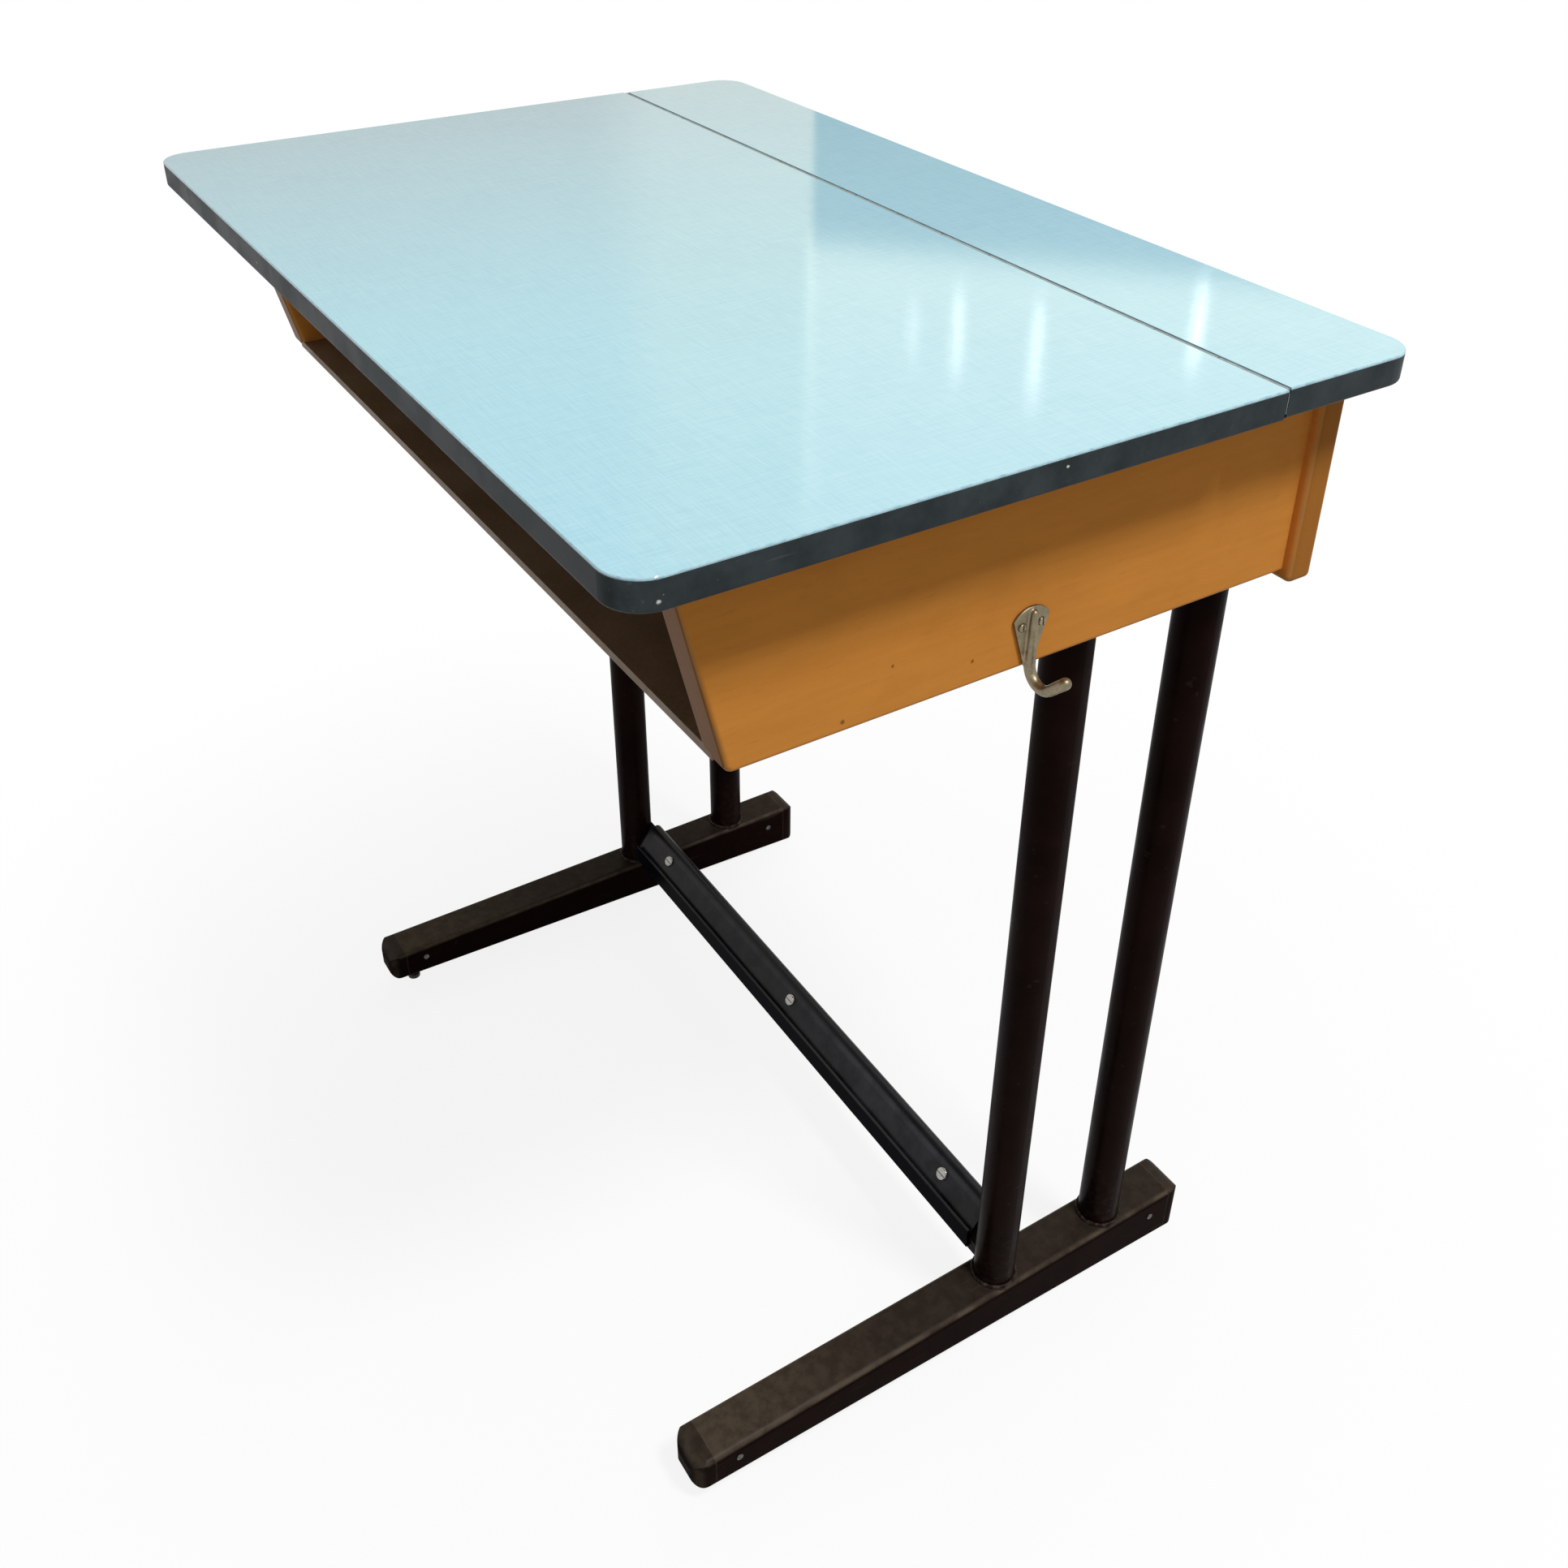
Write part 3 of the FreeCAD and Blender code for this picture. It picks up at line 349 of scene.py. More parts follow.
def make_scuffs():
    """Fine scuffs in two directions."""
    group = Effect("Scuffs", [("Scale", "Float", 1.0), ("Amount", "Float", 0.5)], [("Mask", "Float")])
    tree = group.tree
    masks = []
    for factors in ((14.0, 420.0, 300.0), (380.0, 18.0, 260.0)):
        lines = vectors(tree, "SCALE", {0: stretched(tree, factors), "Scale": group.given["Scale"]})
        masks.append(spread(tree, cloud(tree, lines, 1.0, 2.0), 0.68, 0.76))
    both = maths(tree, "MAXIMUM", *masks)
    group.give("Mask", times(tree, both, group.given["Amount"], clamp=True))
    return tree


def make_spot():
    """One small mark at a stated place."""
    group = Effect("Spot", [("Place", "Vector", (0.0, 0.0, 0.0)), ("Radius", "Float", 0.002)],
                   [("Mask", "Float")])
    tree = group.tree
    sockets = {"Vector": place(tree), "Scale": 700.0, "Detail": 2.0}
    wander = node(tree, "ShaderNodeTexNoise", sockets).outputs["Color"]
    centred = vectors(tree, "SUBTRACT", {0: wander, 1: (0.5, 0.5, 0.5)})
    size = vectors(tree, "SCALE", {0: centred, "Scale": group.given["Radius"]})
    moved = vectors(tree, "ADD", {0: place(tree), 1: size})
    away = node(tree, "ShaderNodeVectorMath", {0: moved, 1: group.given["Place"]}, operation="DISTANCE")
    share = maths(tree, "DIVIDE", away.outputs["Value"], group.given["Radius"])
    group.give("Mask", spread(tree, share, 1.0, 0.45))
    return tree


def make_plies():
    """Thin and thick plies in the cut edges of a board: Across is the place through its thickness."""
    group = Effect("Plies",
                   [("Across", "Float", 0.0), ("Facing", "Float", 1.0), ("Pitch", "Float", 0.0026)],
                   [("Stripe", "Float"), ("Edge", "Float")])
    tree = group.tree
    turns = maths(tree, "DIVIDE", group.given["Across"], group.given["Pitch"])
    wave = maths(tree, "SINE", times(tree, turns, math.pi))
    stripe = spread(tree, wave, -0.35, 0.35)
    edge = spread(tree, maths(tree, "ABSOLUTE", group.given["Facing"]), 0.75, 0.35)
    group.give("Stripe", times(tree, stripe, edge))
    group.give("Edge", edge)
    return tree


def make_figure():
    """Wood figure along one axis: Run is the stretched place."""
    group = Effect("Wood Figure", [("Run", "Vector", (0.0, 0.0, 0.0))],
                   [("Tone", "Float"), ("Pores", "Float")])
    tree = group.tree
    run = group.given["Run"]
    broad = cloud(tree, run, 1.0, 5.0, 0.6)
    lines = cloud(tree, run, 5.5, 3.0, 0.5)
    tone = maths(tree, "ADD", times(tree, broad, 0.65), times(tree, lines, 0.35))
    group.give("Tone", spread(tree, tone, 0.34, 0.66))
    group.give("Pores", spread(tree, cloud(tree, run, 16.0, 2.0, 0.5), 0.63, 0.74))
    return tree


EFFECTS = {}
EFFECT_MAKERS = {"mottle": make_mottle, "rubbed_and_highlit": make_rubbed_and_highlit_edges, "dust": make_dust,
                 "scuffs": make_scuffs, "spot": make_spot, "plies": make_plies, "figure": make_figure}


def effect(tree, name, sockets):
    """Places a shared effect in a finish; the group is made the first time that it is asked for."""
    if name not in EFFECTS:
        EFFECTS[name] = EFFECT_MAKERS[name]()
    made = tree.nodes.new("ShaderNodeGroup")
    made.node_tree = EFFECTS[name]
    for label, value in sockets.items():
        feed(tree, made.inputs[label], value)
    return made.outputs


def mottle(tree, scale, low=0.3, high=0.7):
    return effect(tree, "mottle", {"Scale": scale, "Low": low, "High": high})["Value"]


# Edge mask that paints both real wear and a painted highlight along edges
def rubbed_and_highlit_edges(tree, width, amount, breakup=90.0):
    return effect(tree, "rubbed_and_highlit", {"Width": width, "Breakup": breakup, "Amount": amount})["Mask"]


def scuffed(tree, scale, amount):
    return effect(tree, "scuffs", {"Scale": scale, "Amount": amount})["Mask"]


def dusted(tree, scale, amount):
    return effect(tree, "dust", {"Scale": scale, "Amount": amount})["Mask"]


def settled(tree):
    """A thin film of dust on faces that look up, a little broken."""
    film = times(tree, upward(tree, *DUST_FACING), 0.30)
    return maths(tree, "ADD", film, dusted(tree, 110.0, 0.27))


class Finish:
    """A material with one Principled shader, whose plain values stay on its own sockets."""

    def __init__(self, name, **plain):
        self.material = bpy.data.materials.new(name)
        self.material.use_nodes = True
        self.tree = self.material.node_tree
        self.shader = self.tree.nodes["Principled BSDF"]
        for label, value in plain.items():
            self.shader.inputs[label.replace("_", " ")].default_value = value

    def colour(self, socket):
        self.tree.links.new(socket, self.shader.inputs["Base Color"])

    def rough(self, socket, low, high):
        """Roughness from low to high as the socket goes from 0 to 1."""
        self.tree.links.new(spread(self.tree, socket, 0.0, 1.0, low, high), self.shader.inputs["Roughness"])

    def coat(self, mask, weight):
        """A clear coat where the mask is 1."""
        self.tree.links.new(times(self.tree, mask, weight), self.shader.inputs["Coat Weight"])

    def bump(self, socket, distance, strength=1.0):
        sockets = {"Height": socket, "Distance": distance, "Strength": strength}
        made = node(self.tree, "ShaderNodeBump", sockets)
        self.tree.links.new(made.outputs["Normal"], self.shader.inputs["Normal"])

    def spots(self, base, tone, marks):
        """Paints small marks of one tone over a colour."""
        for where, radius in marks:
            mask = effect(self.tree, "spot", {"Place": where, "Radius": radius})["Mask"]
            base = blend(self.tree, mask, base, tone)
        return base

    def on(self, *names):
        for name in names:
            slots = NODES[name].data.materials
            slots.clear()
            slots.append(self.material)


def tint(value, factor):
    """A colour made darker or lighter."""
    return tuple(min(1.0, channel * factor) for channel in value)


def sides(*names):
    return [side + "_" + name for side in ("left", "right") for name in names]


def piece_from(node_name, piece_name, material, mesh):
    """A finished mesh that stands for a CAD piece and moves with the desk's frame."""
    mesh.materials.clear()
    mesh.materials.append(material)
    made = bpy.data.objects.new(piece_name, mesh)
    bpy.context.scene.collection.objects.link(made)
    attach(made, FIXED_BODY)
    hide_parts(node_name)


def remeshed(node_name, voxel, smoothing):
    """A copy of a CAD piece's surface with an even mesh and softened joints."""
    work = bpy.data.meshes.new(node_name + "_work")
    shape = bmesh.new()
    shape.from_mesh(NODES[node_name].data)
    bmesh.ops.remove_doubles(shape, verts=shape.verts, dist=MERGE_DISTANCE)
    shape.to_mesh(work)
    shape.free()
    holder = bpy.data.objects.new(node_name + "_work", work)
    bpy.context.scene.collection.objects.link(holder)
    even = holder.modifiers.new("Even", "REMESH")
    even.mode = "VOXEL"
    even.voxel_size = voxel
    even.use_smooth_shade = True
    soften = holder.modifiers.new("Soften", "SMOOTH")
    soften.factor = 0.5
    soften.iterations = smoothing
    graph = bpy.context.evaluated_depsgraph_get()
    mesh = bpy.data.meshes.new_from_object(holder.evaluated_get(graph))
    bpy.data.objects.remove(holder)
    return mesh


class DeskOperator:
    """What every step shares: its settings."""

    bl_options = {"REGISTER", "UNDO"}

    @property
    def colours(self):
        return bpy.context.scene.desk_colours

    @property
    def sizes(self):
        return bpy.context.scene.desk_sizes

    @property
    def stage(self):
        return bpy.context.scene.desk_stage


class DESK_OT_laminate(DeskOperator, bpy.types.Operator):
    """Blue linen-print laminate on the leaf and the rear strip"""

    bl_idname = "desk.laminate"
    bl_label = "Laminate"

    def execute(self, context):
        pale, ground = self.colours.laminate_thread, self.colours.laminate
        finish = Finish("blue_linen_laminate", Specular_IOR_Level=0.55)
        tree = finish.tree
        across, along = 1.0 / self.sizes.thread_pitch, 1.0 / self.sizes.thread_run
        warp = cloud(tree, stretched(tree, (across, along, 1.0)), 1.0, 3.0, 0.6)
        weft = cloud(tree, stretched(tree, (along, across, 1.0)), 1.0, 3.0, 0.6)
        linen = spread(tree, maths(tree, "ADD", warp, weft), 0.70, 1.30)
        patches = mottle(tree, 9.0)
        weave = blend(tree, linen, tuple(ground), tuple(pale))
        weave = blend(tree, times(tree, patches, 0.16), weave, tint(pale, 1.06))
        # The bevelled rim: broken darker ground and paler rim colour, partly the cut edge's own colour and
        # partly a painted highlight
        rim = upward(tree, *RIM_FACING)
        broken = mottle(tree, 160.0, 0.30, 0.60)
        edge = blend(tree, broken, tint(ground, 0.8), tuple(self.colours.laminate_rim_and_highlight))
        finish.colour(blend(tree, rim, weave, edge))
        smears = mottle(tree, 14.0, 0.35, 0.72)
        finish.rough(smears, 0.03, 0.055)
        finish.bump(linen, 0.00001, 0.4)
        finish.on("writing_leaf_laminate", "rear_strip_laminate")
        return {"FINISHED"}


class DESK_OT_edge_band(DeskOperator, bpy.types.Operator):
    """Dark plastic edging round the two boards, with a few chips"""

    bl_idname = "desk.edge_band"
    bl_label = "Edge bands"

    def execute(self, context):
        band = tuple(self.colours.band)
        finish = Finish("dark_edge_band", Specular_IOR_Level=0.04)
        tree = finish.tree
        tone = mottle(tree, 35.0)
        base = blend(tree, tone, tint(band, 0.75), tint(band, 1.35))
        # Painted highlight with real wear: the band's edges made much lighter
        rubbed_and_highlit = rubbed_and_highlit_edges(tree, self.sizes.rub_and_highlight_width, 0.35)
        base = blend(tree, rubbed_and_highlit, base, tint(band, 3.2))
        scuffs = scuffed(tree, 0.8, 0.22)
        base = blend(tree, scuffs, base, tint(band, 4.0))
        finish.colour(finish.spots(base, tuple(self.colours.band_chip), BAND_CHIPS))
        finish.rough(tone, 0.34, 0.46)
        finish.bump(mottle(tree, 900.0, 0.2, 0.8), 0.00003, 0.5)
        finish.on("writing_leaf_edge_band", "rear_strip_edge_band")
        return {"FINISHED"}


class DESK_OT_board_cores(DeskOperator, bpy.types.Operator):
    """Chip board inside the top and the brown sheet under it"""

    bl_idname = "desk.board_cores"
    bl_label = "Board cores and backing"

    def execute(self, context):
        core = Finish("pressed_chip_board", Roughness=0.8)
        tree = core.tree
        sockets = {"Vector": stretched(tree, (520.0, 520.0, 900.0)), "Scale": 1.0}
        chips = node(tree, "ShaderNodeTexVoronoi", sockets)
        grey = node(tree, "ShaderNodeSeparateColor", {0: chips.outputs["Color"]}).outputs[0]
        core.colour(blend(tree, grey, *CHIP_TONES))
        core.bump(chips.outputs["Distance"], 0.0002, 0.6)
        core.on("writing_leaf_core", "rear_strip_core")
        sheet = Finish("brown_backing_sheet", Specular_IOR_Level=0.3)
        tree = sheet.tree
        tone = mottle(tree, 22.0)
        fibre = cloud(tree, stretched(tree, (260.0, 40.0, 1.0)), 1.0, 4.0)
        base = blend(tree, tone, *BACKING_TONES)
        base = blend(tree, times(tree, fibre, 0.4), base, BACKING_FIBRE)
        sheet.colour(base)
        sheet.rough(tone, 0.5, 0.66)
        sheet.bump(fibre, 0.00005, 0.5)
        sheet.on("writing_leaf_backing", "rear_strip_backing")
        return {"FINISHED"}


class DESK_OT_hinge(DeskOperator, bpy.types.Operator):
    """Rolled steel of the continuous hinge"""

    bl_idname = "desk.hinge"
    bl_label = "Hinge"

    def execute(self, context):
        finish = Finish("rolled_hinge_steel", Metallic=1.0)
        tree = finish.tree
        tone = mottle(tree, 120.0)
        tarnish = mottle(tree, 18.0, 0.42, 0.7)
        base = blend(tree, tone, *HINGE_TONES)
        finish.colour(blend(tree, times(tree, tarnish, 0.3), base, HINGE_TARNISH))
        finish.rough(tone, 0.38, 0.6)
        finish.bump(cloud(tree, stretched(tree, (60.0, 1500.0, 1500.0)), 1.0, 3.0), 0.00003, 0.5)
        finish.on("hinge_leaf_flange", "hinge_strip_flange", "hinge_pin")
        return {"FINISHED"}


class DESK_OT_plywood(DeskOperator, bpy.types.Operator):
    """Varnished plywood of the side panels and the back board"""

    bl_idname = "desk.plywood"
    bl_label = "Side panels and back board"

    def ply(self, name, thickness_axis, run_axis, marks, edge_shade):
        """Plywood whose grain runs along one axis; its cut edges are darkened with painted shade, by the
        last argument.
        """
        lit, deep = tuple(self.colours.varnish), tuple(self.colours.varnish_deep)
        finish = Finish(name, Specular_IOR_Level=0.015)
        tree = finish.tree
        factors = [PLY_FIGURE] * 3
        factors[run_axis] = 1.0 / self.sizes.grain_run
        figure = effect(tree, "figure", {"Run": stretched(tree, tuple(factors))})
        base = blend(tree, times(tree, figure["Tone"], 0.42), lit, deep)
        base = blend(tree, times(tree, figure["Pores"], 0.16), base, tint(deep, 0.62))
        fine = mottle(tree, 480.0, 0.25, 0.75)
        base = blend(tree, times(tree, fine, 0.10), base, tint(lit, 1.15))
        stain = mottle(tree, 11.0, 0.48, 0.78)
        base = blend(tree, times(tree, stain, 0.30), base, tint(deep, 0.75))
        normal = node(tree, "ShaderNodeNewGeometry").outputs["Normal"]
        facing = axes(tree, own_normal(tree, normal))[thickness_axis]
        through = axes(tree, place(tree))[thickness_axis]
        plies = effect(tree, "plies", {"Across": through, "Facing": facing, "Pitch": self.sizes.ply_pitch})
        # Painted shade: the plywood's cut edges darkened where they face away from the light
        base = blend(tree, times(tree, plies["Edge"], 0.80), base, tint(deep, edge_shade))
        base = blend(tree, times(tree, plies["Stripe"], 0.10), base, tint(deep, 0.62))
        # Rubbed varnish and a painted highlight on the plywood's rounded edges
        rubbed_and_highlit = rubbed_and_highlit_edges(tree, self.sizes.rub_and_highlight_width, 0.8, 70.0)
        base = blend(tree, rubbed_and_highlit, base, tuple(self.colours.ply_edge_wear_and_highlight))
        finish.colour(finish.spots(base, tint(deep, 0.55), marks))
        finish.rough(stain, 0.30, 0.44)
        finish.bump(maths(tree, "ADD", figure["Pores"], times(tree, fine, 0.5)), 0.00006, 0.4)
        return finish

    def execute(self, context):
        # The side panels' edges take deeper painted shade than the back board's end
        panel = self.ply("varnished_side_panel", AXIS_X, AXIS_Y, PANEL_DENTS, 0.24)
        panel.on("left_side_panel", "right_side_panel")
        back = self.ply("varnished_back_board", AXIS_Y, AXIS_X, BACK_DENTS, 0.60)
        back.on("back_board")
        return {"FINISHED"}


class DESK_OT_box_inside(DeskOperator, bpy.types.Operator):
    """Hardboard shelf and plain softwood strips inside the book box"""

    bl_idname = "desk.box_inside"
    bl_label = "Shelf, bearers and cleats"

    def execute(self, context):
        shelf = Finish("brown_hardboard", Specular_IOR_Level=0.3)
        tree = shelf.tree
        tone = mottle(tree, 26.0)
        fibre = mottle(tree, 420.0)
        base = blend(tree, tone, *SHELF_TONES)
        base = blend(tree, times(tree, fibre, 0.35), base, SHELF_FIBRE)
        # Lighter shelf edges: rubbed fibre and a painted highlight
        rubbed_and_highlit = rubbed_and_highlit_edges(tree, 0.0012, 0.9)
        shelf.colour(blend(tree, rubbed_and_highlit, base, SHELF_EDGE))
        shelf.rough(tone, 0.42, 0.6)
        shelf.bump(fibre, 0.00006, 0.5)
        shelf.on("book_shelf")
        strip = Finish("planed_softwood", Specular_IOR_Level=0.3)
        tree = strip.tree
        figure = effect(tree, "figure", {"Run": stretched(tree, (110.0, 5.0, 110.0))})
        base = blend(tree, figure["Tone"], *SOFTWOOD_TONES)
        base = blend(tree, times(tree, figure["Pores"], 0.4), base, SOFTWOOD_PORES)
        # Lighter strip edges: rubbed wood and a painted highlight
        rubbed_and_highlit = rubbed_and_highlit_edges(tree, 0.0015, 0.5)
        strip.colour(blend(tree, rubbed_and_highlit, base, SOFTWOOD_EDGE))
        strip.rough(figure["Tone"], 0.5, 0.68)
        strip.bump(figure["Tone"], 0.0001, 0.5)
        strip.on(*sides("shelf_bearer", "strip_cleat"))
        return {"FINISHED"}


class DESK_OT_frames(DeskOperator, bpy.types.Operator):
    """Near-black paint on the tubes, rails and foot bars"""

    bl_idname = "desk.frames"
    bl_label = "Side frames"

    def execute(self, context):
        paint, worn = tuple(self.colours.paint), tuple(self.colours.paint_worn)
        tube = Finish("tube_paint", Specular_IOR_Level=0.016, Specular_Tint=WARM_SHEEN)
        tree = tube.tree
        tone = mottle(tree, 30.0)
        base = blend(tree, tone, tint(paint, 0.75), tint(paint, 1.35))
        scuffs = scuffed(tree, 0.5, 0.30)
        base = blend(tree, scuffs, base, tint(worn, 0.9))
        height = axes(tree, place(tree))[2]
        low = times(tree, spread(tree, height, 0.13, 0.045), 0.30)
        specks = mottle(tree, 210.0, 0.45, 0.7)
        tube.colour(blend(tree, times(tree, low, specks), base, worn))
        tube.rough(tone, 0.30, 0.42)
        tube.bump(mottle(tree, 330.0, 0.2, 0.8), 0.00004, 0.5)
        tube.on(*sides("front_column", "rear_column", "mounting_rail"), "stretcher_bar")
        foot = Finish("worn_foot_paint", Specular_IOR_Level=0.004, Specular_Tint=WARM_SHEEN,
                      Coat_Roughness=0.38)
        tree = foot.tree
        tone = mottle(tree, 42.0)
        base = blend(tree, tone, tint(paint, 0.9), tint(paint, 1.3))
        dust = settled(tree)
        base = blend(tree, dust, base, worn)
        # Painted light: the dusty foot tops made lighter toward the toes, where more light falls past the
        # desk
        painted_toe_light = times(tree, spread(tree, axes(tree, place(tree))[1], 0.0, -0.19), dust)
        base = blend(tree, painted_toe_light, base, tint(worn, 2.3))
        # Painted highlight with some wear: a bright line along the foot bars' top edges
        rubbed_and_highlit = rubbed_and_highlit_edges(tree, self.sizes.rub_and_highlight_width, 0.85, 45.0)
        base = blend(tree, rubbed_and_highlit, base, tint(worn, 2.2))
        scuffs = scuffed(tree, 0.7, 0.16)
        foot.colour(blend(tree, scuffs, base, tint(worn, 2.0)))
        foot.rough(dust, 0.36, 0.56)
        foot.coat(upward(tree, *FOOT_SHEEN_FACING), 0.12)
        foot.bump(mottle(tree, 300.0, 0.2, 0.8), 0.00005, 0.5)
        foot.on(*sides("foot_bar"))
        return {"FINISHED"}


class DESK_OT_foot_caps(DeskOperator, bpy.types.Operator):
    """Moulded plastic caps on the ends of the foot bars"""

    bl_idname = "desk.foot_caps"
    bl_label = "Foot caps"

    def execute(self, context):
        cap = tuple(self.colours.cap)
        finish = Finish("moulded_cap", Specular_IOR_Level=0.004, Specular_Tint=WARM_SHEEN,
                        Coat_Roughness=0.38)
        tree = finish.tree
        tone = mottle(tree, 60.0)
        base = blend(tree, tone, tint(cap, 0.8), tint(cap, 1.6))
        dust = settled(tree)
        base = blend(tree, dust, base, tint(tuple(self.colours.paint_worn), 1.35))
        # Painted highlight with some wear: the caps' edges made lighter
        rubbed_and_highlit = rubbed_and_highlit_edges(tree, 0.002, 0.5, 120.0)
        finish.colour(blend(tree, rubbed_and_highlit, base, tint(tuple(self.colours.paint_worn), 1.8)))
        finish.rough(tone, 0.40, 0.58)
        finish.coat(upward(tree, *FOOT_SHEEN_FACING), 0.14)
        finish.bump(mottle(tree, 1400.0, 0.2, 0.8), 0.00005, 0.5)
        finish.on(*sides("toe_cap", "heel_cap"))
        return {"FINISHED"}


class DESK_OT_welds(DeskOperator, bpy.types.Operator):
    """Rippled weld beads at both ends of the columns"""

    bl_idname = "desk.welds"
    bl_label = "Weld beads"

    def execute(self, context):
        worn = tuple(self.colours.paint_worn)
        finish = Finish("rubbed_weld_bead", Specular_IOR_Level=0.04)
        tree = finish.tree
        tone = mottle(tree, 240.0, 0.35, 0.68)
        finish.colour(blend(tree, tone, tint(tuple(self.colours.paint), 1.4), tint(worn, 1.3)))
        finish.rough(tone, 0.30, 0.5)
        finish.bump(mottle(tree, 800.0, 0.2, 0.8), 0.0001, 0.5)
        mesh = remeshed("column_welds", WELD_VOXEL, WELD_SMOOTHING)
        ripple = self.sizes.bead_ripple
        for vertex, normal in zip(mesh.vertices, [vertex.normal.copy() for vertex in mesh.vertices]):
            swell = noise.noise(vertex.co * RIPPLES_PER_METRE) - RIPPLE_SINK
            vertex.co += normal * ripple * swell
        mesh.update()
        piece_from("column_welds", "weld_beads", finish.material, mesh)
        return {"FINISHED"}


class DESK_OT_footrest(DeskOperator, bpy.types.Operator):
    """Glossy enamel on the footrest rail, worn by shoes, with a painted highlight along its edges"""

    bl_idname = "desk.footrest"
    bl_label = "Footrest"

    def execute(self, context):
        enamel = tuple(self.colours.footrest)
        finish = Finish("footrest_enamel", Specular_IOR_Level=0.003, Coat_Roughness=0.30)
        tree = finish.tree
        tone = mottle(tree, 28.0)
        base = blend(tree, tone, tint(enamel, 0.8), tint(enamel, 1.4))
        dust = dusted(tree, 46.0, 0.25)
        base = blend(tree, dust, base, FOOTREST_DUST)
        scuffs = scuffed(tree, 0.6, 0.20)
        base = blend(tree, scuffs, base, FOOTREST_SCUFF)
        # Painted highlight with wear: a light line along the footrest's edges
        rubbed_and_highlit = rubbed_and_highlit_edges(tree, 0.0008, 0.4, 60.0)
        finish.colour(blend(tree, rubbed_and_highlit, base, FOOTREST_RUB_AND_HIGHLIGHT))
        finish.rough(dust, 0.34, 0.46)
        finish.coat(upward(tree, *FOOTREST_SHEEN_FACING), 0.42)
        finish.bump(mottle(tree, 260.0, 0.2, 0.8), 0.00004, 0.4)
        finish.on("footrest_rail")
        return {"FINISHED"}


class DESK_OT_bag_hook(DeskOperator, bpy.types.Operator):
    """Cast hook with softened joints and a dull bronzed finish"""

    bl_idname = "desk.bag_hook"
    bl_label = "Bag hook"

    def execute(self, context):
        bronze = tuple(self.colours.bronze)
        finish = Finish("bronzed_hook", Metallic=1.0)
        tree = finish.tree
        tone = mottle(tree, 150.0)
        base = blend(tree, tone, tint(bronze, 0.72), tint(bronze, 1.12))
        tarnish = mottle(tree, 420.0, 0.50, 0.72)
        base = blend(tree, times(tree, tarnish, 0.5), base, tint(bronze, 0.42))
        finish.colour(base)
        finish.rough(tone, 0.38, 0.50)
        finish.bump(mottle(tree, 700.0, 0.2, 0.8), 0.00006, 0.5)
        mesh = remeshed("bag_hook", self.sizes.hook_voxel, HOOK_SMOOTHING)
        piece_from("bag_hook", "cast_hook", finish.material, mesh)
        screws = Finish("hook_screw_metal", Metallic=1.0)
        tree = screws.tree
        tone = mottle(tree, 600.0)
        screws.colour(blend(tree, tone, tint(bronze, 0.55), tint(bronze, 1.25)))
        screws.rough(tone, 0.28, 0.45)
        screws.on("hook_screws")
        return {"FINISHED"}


class DESK_OT_fixings(DeskOperator, bpy.types.Operator):
    """Plated screws, rivets, glides and nuts"""

    bl_idname = "desk.fixings"
    bl_label = "Screws, rivets and glides"

    def plated(self, name, low, high, tarnish_amount, rough):
        steel = tuple(self.colours.steel)
        finish = Finish(name, Metallic=1.0)
        tree = finish.tree
        tone = mottle(tree, 520.0)
        base = blend(tree, tone, tint(steel, low), tint(steel, high))
        tarnish = mottle(tree, 70.0, 0.45, 0.7)
        finish.colour(blend(tree, times(tree, tarnish, tarnish_amount), base, STEEL_TARNISH))
        finish.rough(tone, rough, rough + 0.18)
        finish.bump(tone, 0.00003, 0.4)
        return finish

    def execute(self, context):
        bright = self.plated("plated_steel", 0.85, 1.25, 0.25, 0.22)
        bright.on("footrest_screws", "leveller_nuts")
        dull = self.plated("dull_steel", 0.45, 0.85, 0.5, 0.34)
        dull.on("back_board_screws", "strip_cleat_screws", "mounting_screws", "hinge_leaf_screws",
                "hinge_strip_screws")
        rivet = self.plated("painted_rivet", 0.10, 0.42, 0.6, 0.36)
        rivet.on("cap_rivets")
        nylon = Finish("black_nylon", Specular_IOR_Level=0.3)
        tree = nylon.tree
        tone = mottle(tree, 160.0)
        nylon.colour(blend(tree, tone, *NYLON_TONES))
        nylon.rough(tone, 0.42, 0.56)
        nylon.on("toe_levellers")
        return {"FINISHED"}


class DESK_OT_rubber(DeskOperator, bpy.types.Operator):
    """Rubber bumpers under the leaf and pads under the heels"""

    bl_idname = "desk.rubber"
    bl_label = "Rubber pads"

    def execute(self, context):
        finish = Finish("black_rubber", Specular_IOR_Level=0.3)
        tree = finish.tree
        tone = mottle(tree, 120.0)
        finish.colour(blend(tree, tone, *RUBBER_TONES))
        finish.rough(tone, 0.62, 0.82)
        finish.bump(mottle(tree, 1200.0, 0.2, 0.8), 0.00005, 0.5)
        finish.on("leaf_bumpers", "heel_pads")
        return {"FINISHED"}


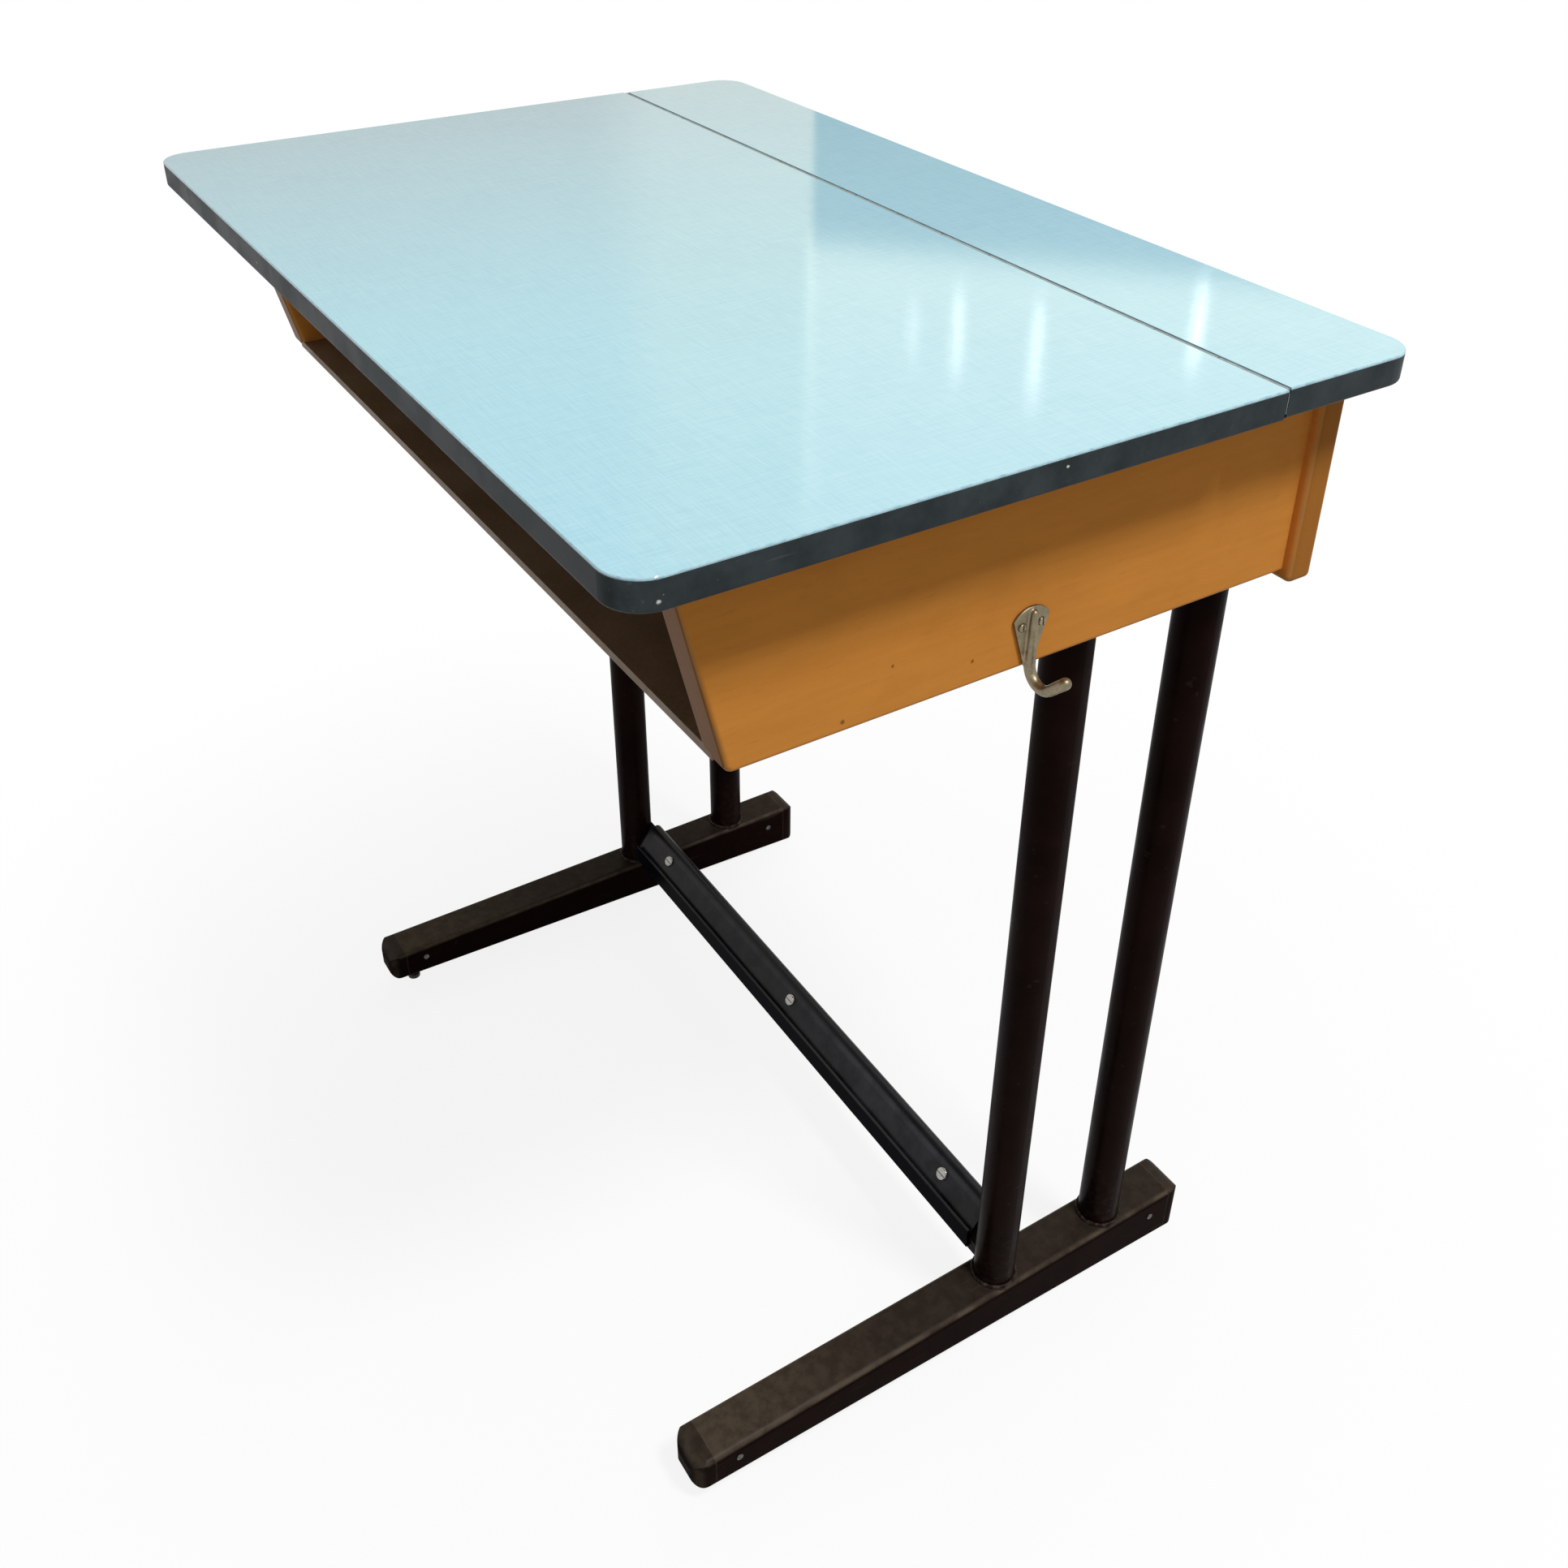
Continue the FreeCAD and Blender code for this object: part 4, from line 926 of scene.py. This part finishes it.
class DESK_OT_stage(DeskOperator, bpy.types.Operator):
    """Pale floor, soft light and the camera"""

    bl_idname = "desk.stage"
    bl_label = "Stage"

    def floor(self):
        """A matt disc that fades to white away from the desk's shadow."""
        finish = Finish("pale_floor", Roughness=0.9, Specular_IOR_Level=0.1)
        tree = finish.tree
        grain = mottle(tree, 3.0)
        tone = tuple(self.stage.floor)
        seen = shown(tree)
        lit = blend(tree, grain, tone, tint(tone, 1.02))
        finish.colour(blend(tree, seen, tint(tone, FLOOR_BOUNCE), lit))
        x, y, _ = axes(tree, place(tree))
        reach = maths(tree, "SQRT", maths(tree, "ADD", times(tree, x, x), times(tree, y, y)))
        white = node(tree, "ShaderNodeEmission", {"Color": WHITE, "Strength": 1.0})
        fade = times(tree, spread(tree, reach, *FLOOR_FADE, *FLOOR_WHITE), seen)
        sockets = {0: fade, 1: finish.shader.outputs[0], 2: white.outputs[0]}
        mixed = node(tree, "ShaderNodeMixShader", sockets)
        tree.links.new(mixed.outputs[0], tree.nodes["Material Output"].inputs["Surface"])
        shape = bmesh.new()
        bmesh.ops.create_circle(shape, cap_ends=True, segments=FLOOR_SEGMENTS, radius=FLOOR_RADIUS)
        mesh = bpy.data.meshes.new("floor")
        shape.to_mesh(mesh)
        shape.free()
        mesh.materials.append(finish.material)
        made = bpy.data.objects.new("floor", mesh)
        bpy.context.scene.collection.objects.link(made)

    def aimed(self, name, data, where, aim):
        """A light or a card that faces a point and that the camera passes over."""
        made = bpy.data.objects.new(name, data)
        made.location = where
        made.rotation_euler = (Vector(aim) - Vector(where)).to_track_quat("-Z", "Y").to_euler()
        made.visible_camera = False
        bpy.context.scene.collection.objects.link(made)
        return made

    def lamp(self, name, power, where, aim, size, tone=(1.0, 1.0, 1.0)):
        """A soft rectangular light."""
        lamp = bpy.data.lights.new(name, "AREA")
        lamp.shape = "RECTANGLE"
        lamp.size, lamp.size_y = size
        lamp.energy = power
        lamp.color = tone
        self.aimed(name, lamp, where, aim)

    def card(self, name, where, aim, size):
        """An upright glowing card; gives its material's tree and the light in it."""
        glow = bpy.data.materials.new(name)
        glow.use_nodes = True
        tree = glow.node_tree
        light = node(tree, "ShaderNodeEmission")
        tree.links.new(light.outputs[0], tree.nodes["Material Output"].inputs["Surface"])
        corners = [(a * size[0] / 2, b * size[1] / 2, 0.0) for a, b in ((-1, -1), (1, -1), (1, 1), (-1, 1))]
        mesh = bpy.data.meshes.new(name)
        mesh.from_pydata(corners, [], [(0, 1, 2, 3)])
        mesh.materials.append(glow)
        self.aimed(name, mesh, where, aim)
        return tree, light.inputs

    def left_window(self):
        """Brighter at one end, dimmer and warmer towards its foot."""
        tree, light = self.card("left_window", **LEFT_WINDOW)
        x, y, _ = axes(tree, place(tree))
        rise = spread(tree, y, *WINDOW_FOOT)
        shaded = blend(tree, rise, *WINDOW_SHADED)
        clear = blend(tree, rise, *WINDOW_CLEAR)
        tree.links.new(blend(tree, spread(tree, x, *WINDOW_HALVES), shaded, clear), light["Color"])
        light["Strength"].default_value = self.stage.left_glow

    def dim_wall(self):
        """The dim far wall that the glossy top reflects round the windows."""
        _, light = self.card("dim_wall", **DIM_WALL)
        light["Color"].default_value = WHITE
        light["Strength"].default_value = self.stage.ambient

    def slits(self):
        """Narrow bright gaps that the glossy top reflects as upright streaks."""
        for number, (where, size) in enumerate(SLITS, 1):
            power = self.stage.slit_glow * math.pi * size[0] * size[1]
            self.lamp(f"slit_{number}", power, where, SLIT_AIM, size)

    def surroundings(self):
        """Even dim light all round, white where it is seen."""
        world = bpy.data.worlds.new("soft_studio")
        world.use_nodes = True
        bpy.context.scene.world = world
        tree = world.node_tree
        level = spread(tree, shown(tree), 0.0, 1.0, self.stage.ambient, 1.0)
        back = tree.nodes["Background"]
        back.inputs["Color"].default_value = WHITE
        tree.links.new(level, back.inputs["Strength"])

    def camera(self):
        stage = self.stage
        view = bpy.data.cameras.new("camera")
        view.sensor_width = SENSOR_WIDTH
        view.lens = stage.focal_pixels / IMAGE_SIZE * SENSOR_WIDTH
        view.shift_x = (IMAGE_SIZE / 2 - stage.centre_x) / IMAGE_SIZE
        view.shift_y = (stage.centre_y - IMAGE_SIZE / 2) / IMAGE_SIZE
        view.clip_start = NEAREST_VIEW
        made = bpy.data.objects.new("camera", view)
        back = (Vector(stage.camera_place) - Vector(stage.camera_target)).normalized()
        right = Vector((0.0, 0.0, 1.0)).cross(back).normalized()
        up = back.cross(right)
        turn, lift = math.cos(stage.camera_roll), math.sin(stage.camera_roll)
        across, upright = right * turn + up * lift, up * turn - right * lift
        facing = Matrix((across, upright, back)).transposed().to_4x4()
        made.matrix_world = Matrix.Translation(stage.camera_place) @ facing
        bpy.context.scene.collection.objects.link(made)
        bpy.context.scene.camera = made

    def execute(self, context):
        bpy.context.scene.view_settings.view_transform = "Standard"
        self.floor()
        self.lamp("key", self.stage.key_power, **KEY_LIGHT)
        self.left_window()
        self.dim_wall()
        self.lamp("rear_window", self.stage.rear_power, **REAR_WINDOW, tone=REAR_WINDOW_TONE)
        self.slits()
        self.surroundings()
        self.camera()
        return {"FINISHED"}


STEPS = (DESK_OT_laminate, DESK_OT_edge_band, DESK_OT_board_cores, DESK_OT_hinge, DESK_OT_plywood,
         DESK_OT_box_inside, DESK_OT_frames, DESK_OT_foot_caps, DESK_OT_welds, DESK_OT_footrest,
         DESK_OT_bag_hook, DESK_OT_fixings, DESK_OT_rubber, DESK_OT_stage)


class DESK_PT_finishes(bpy.types.Panel):
    """The desk's steps and settings"""

    bl_idname = "DESK_PT_finishes"
    bl_label = "School desk"
    bl_space_type = "VIEW_3D"
    bl_region_type = "UI"
    bl_category = "Desk"

    def draw(self, context):
        layout = self.layout
        for step in STEPS:
            layout.operator(step.bl_idname)
        for group in (context.scene.desk_colours, context.scene.desk_sizes, context.scene.desk_stage):
            column = layout.column(align=True)
            for name in group.__annotations__:
                column.prop(group, name)


SETTINGS = {"desk_colours": DeskColours, "desk_sizes": DeskSizes, "desk_stage": DeskStage}
CLASSES = (*SETTINGS.values(), *STEPS, DESK_PT_finishes)


def register():
    for item in CLASSES:
        bpy.utils.register_class(item)
    for name, group in SETTINGS.items():
        setattr(bpy.types.Scene, name, PointerProperty(type=group))


def unregister():
    for name in SETTINGS:
        delattr(bpy.types.Scene, name)
    for item in reversed(CLASSES):
        bpy.utils.unregister_class(item)


def main():
    register()
    bpy.ops.desk.laminate()
    bpy.ops.desk.edge_band()
    bpy.ops.desk.board_cores()
    bpy.ops.desk.hinge()
    bpy.ops.desk.plywood()
    bpy.ops.desk.box_inside()
    bpy.ops.desk.frames()
    bpy.ops.desk.foot_caps()
    bpy.ops.desk.welds()
    bpy.ops.desk.footrest()
    bpy.ops.desk.bag_hook()
    bpy.ops.desk.fixings()
    bpy.ops.desk.rubber()
    bpy.ops.desk.stage()


if __name__ == "__main__":
    main()
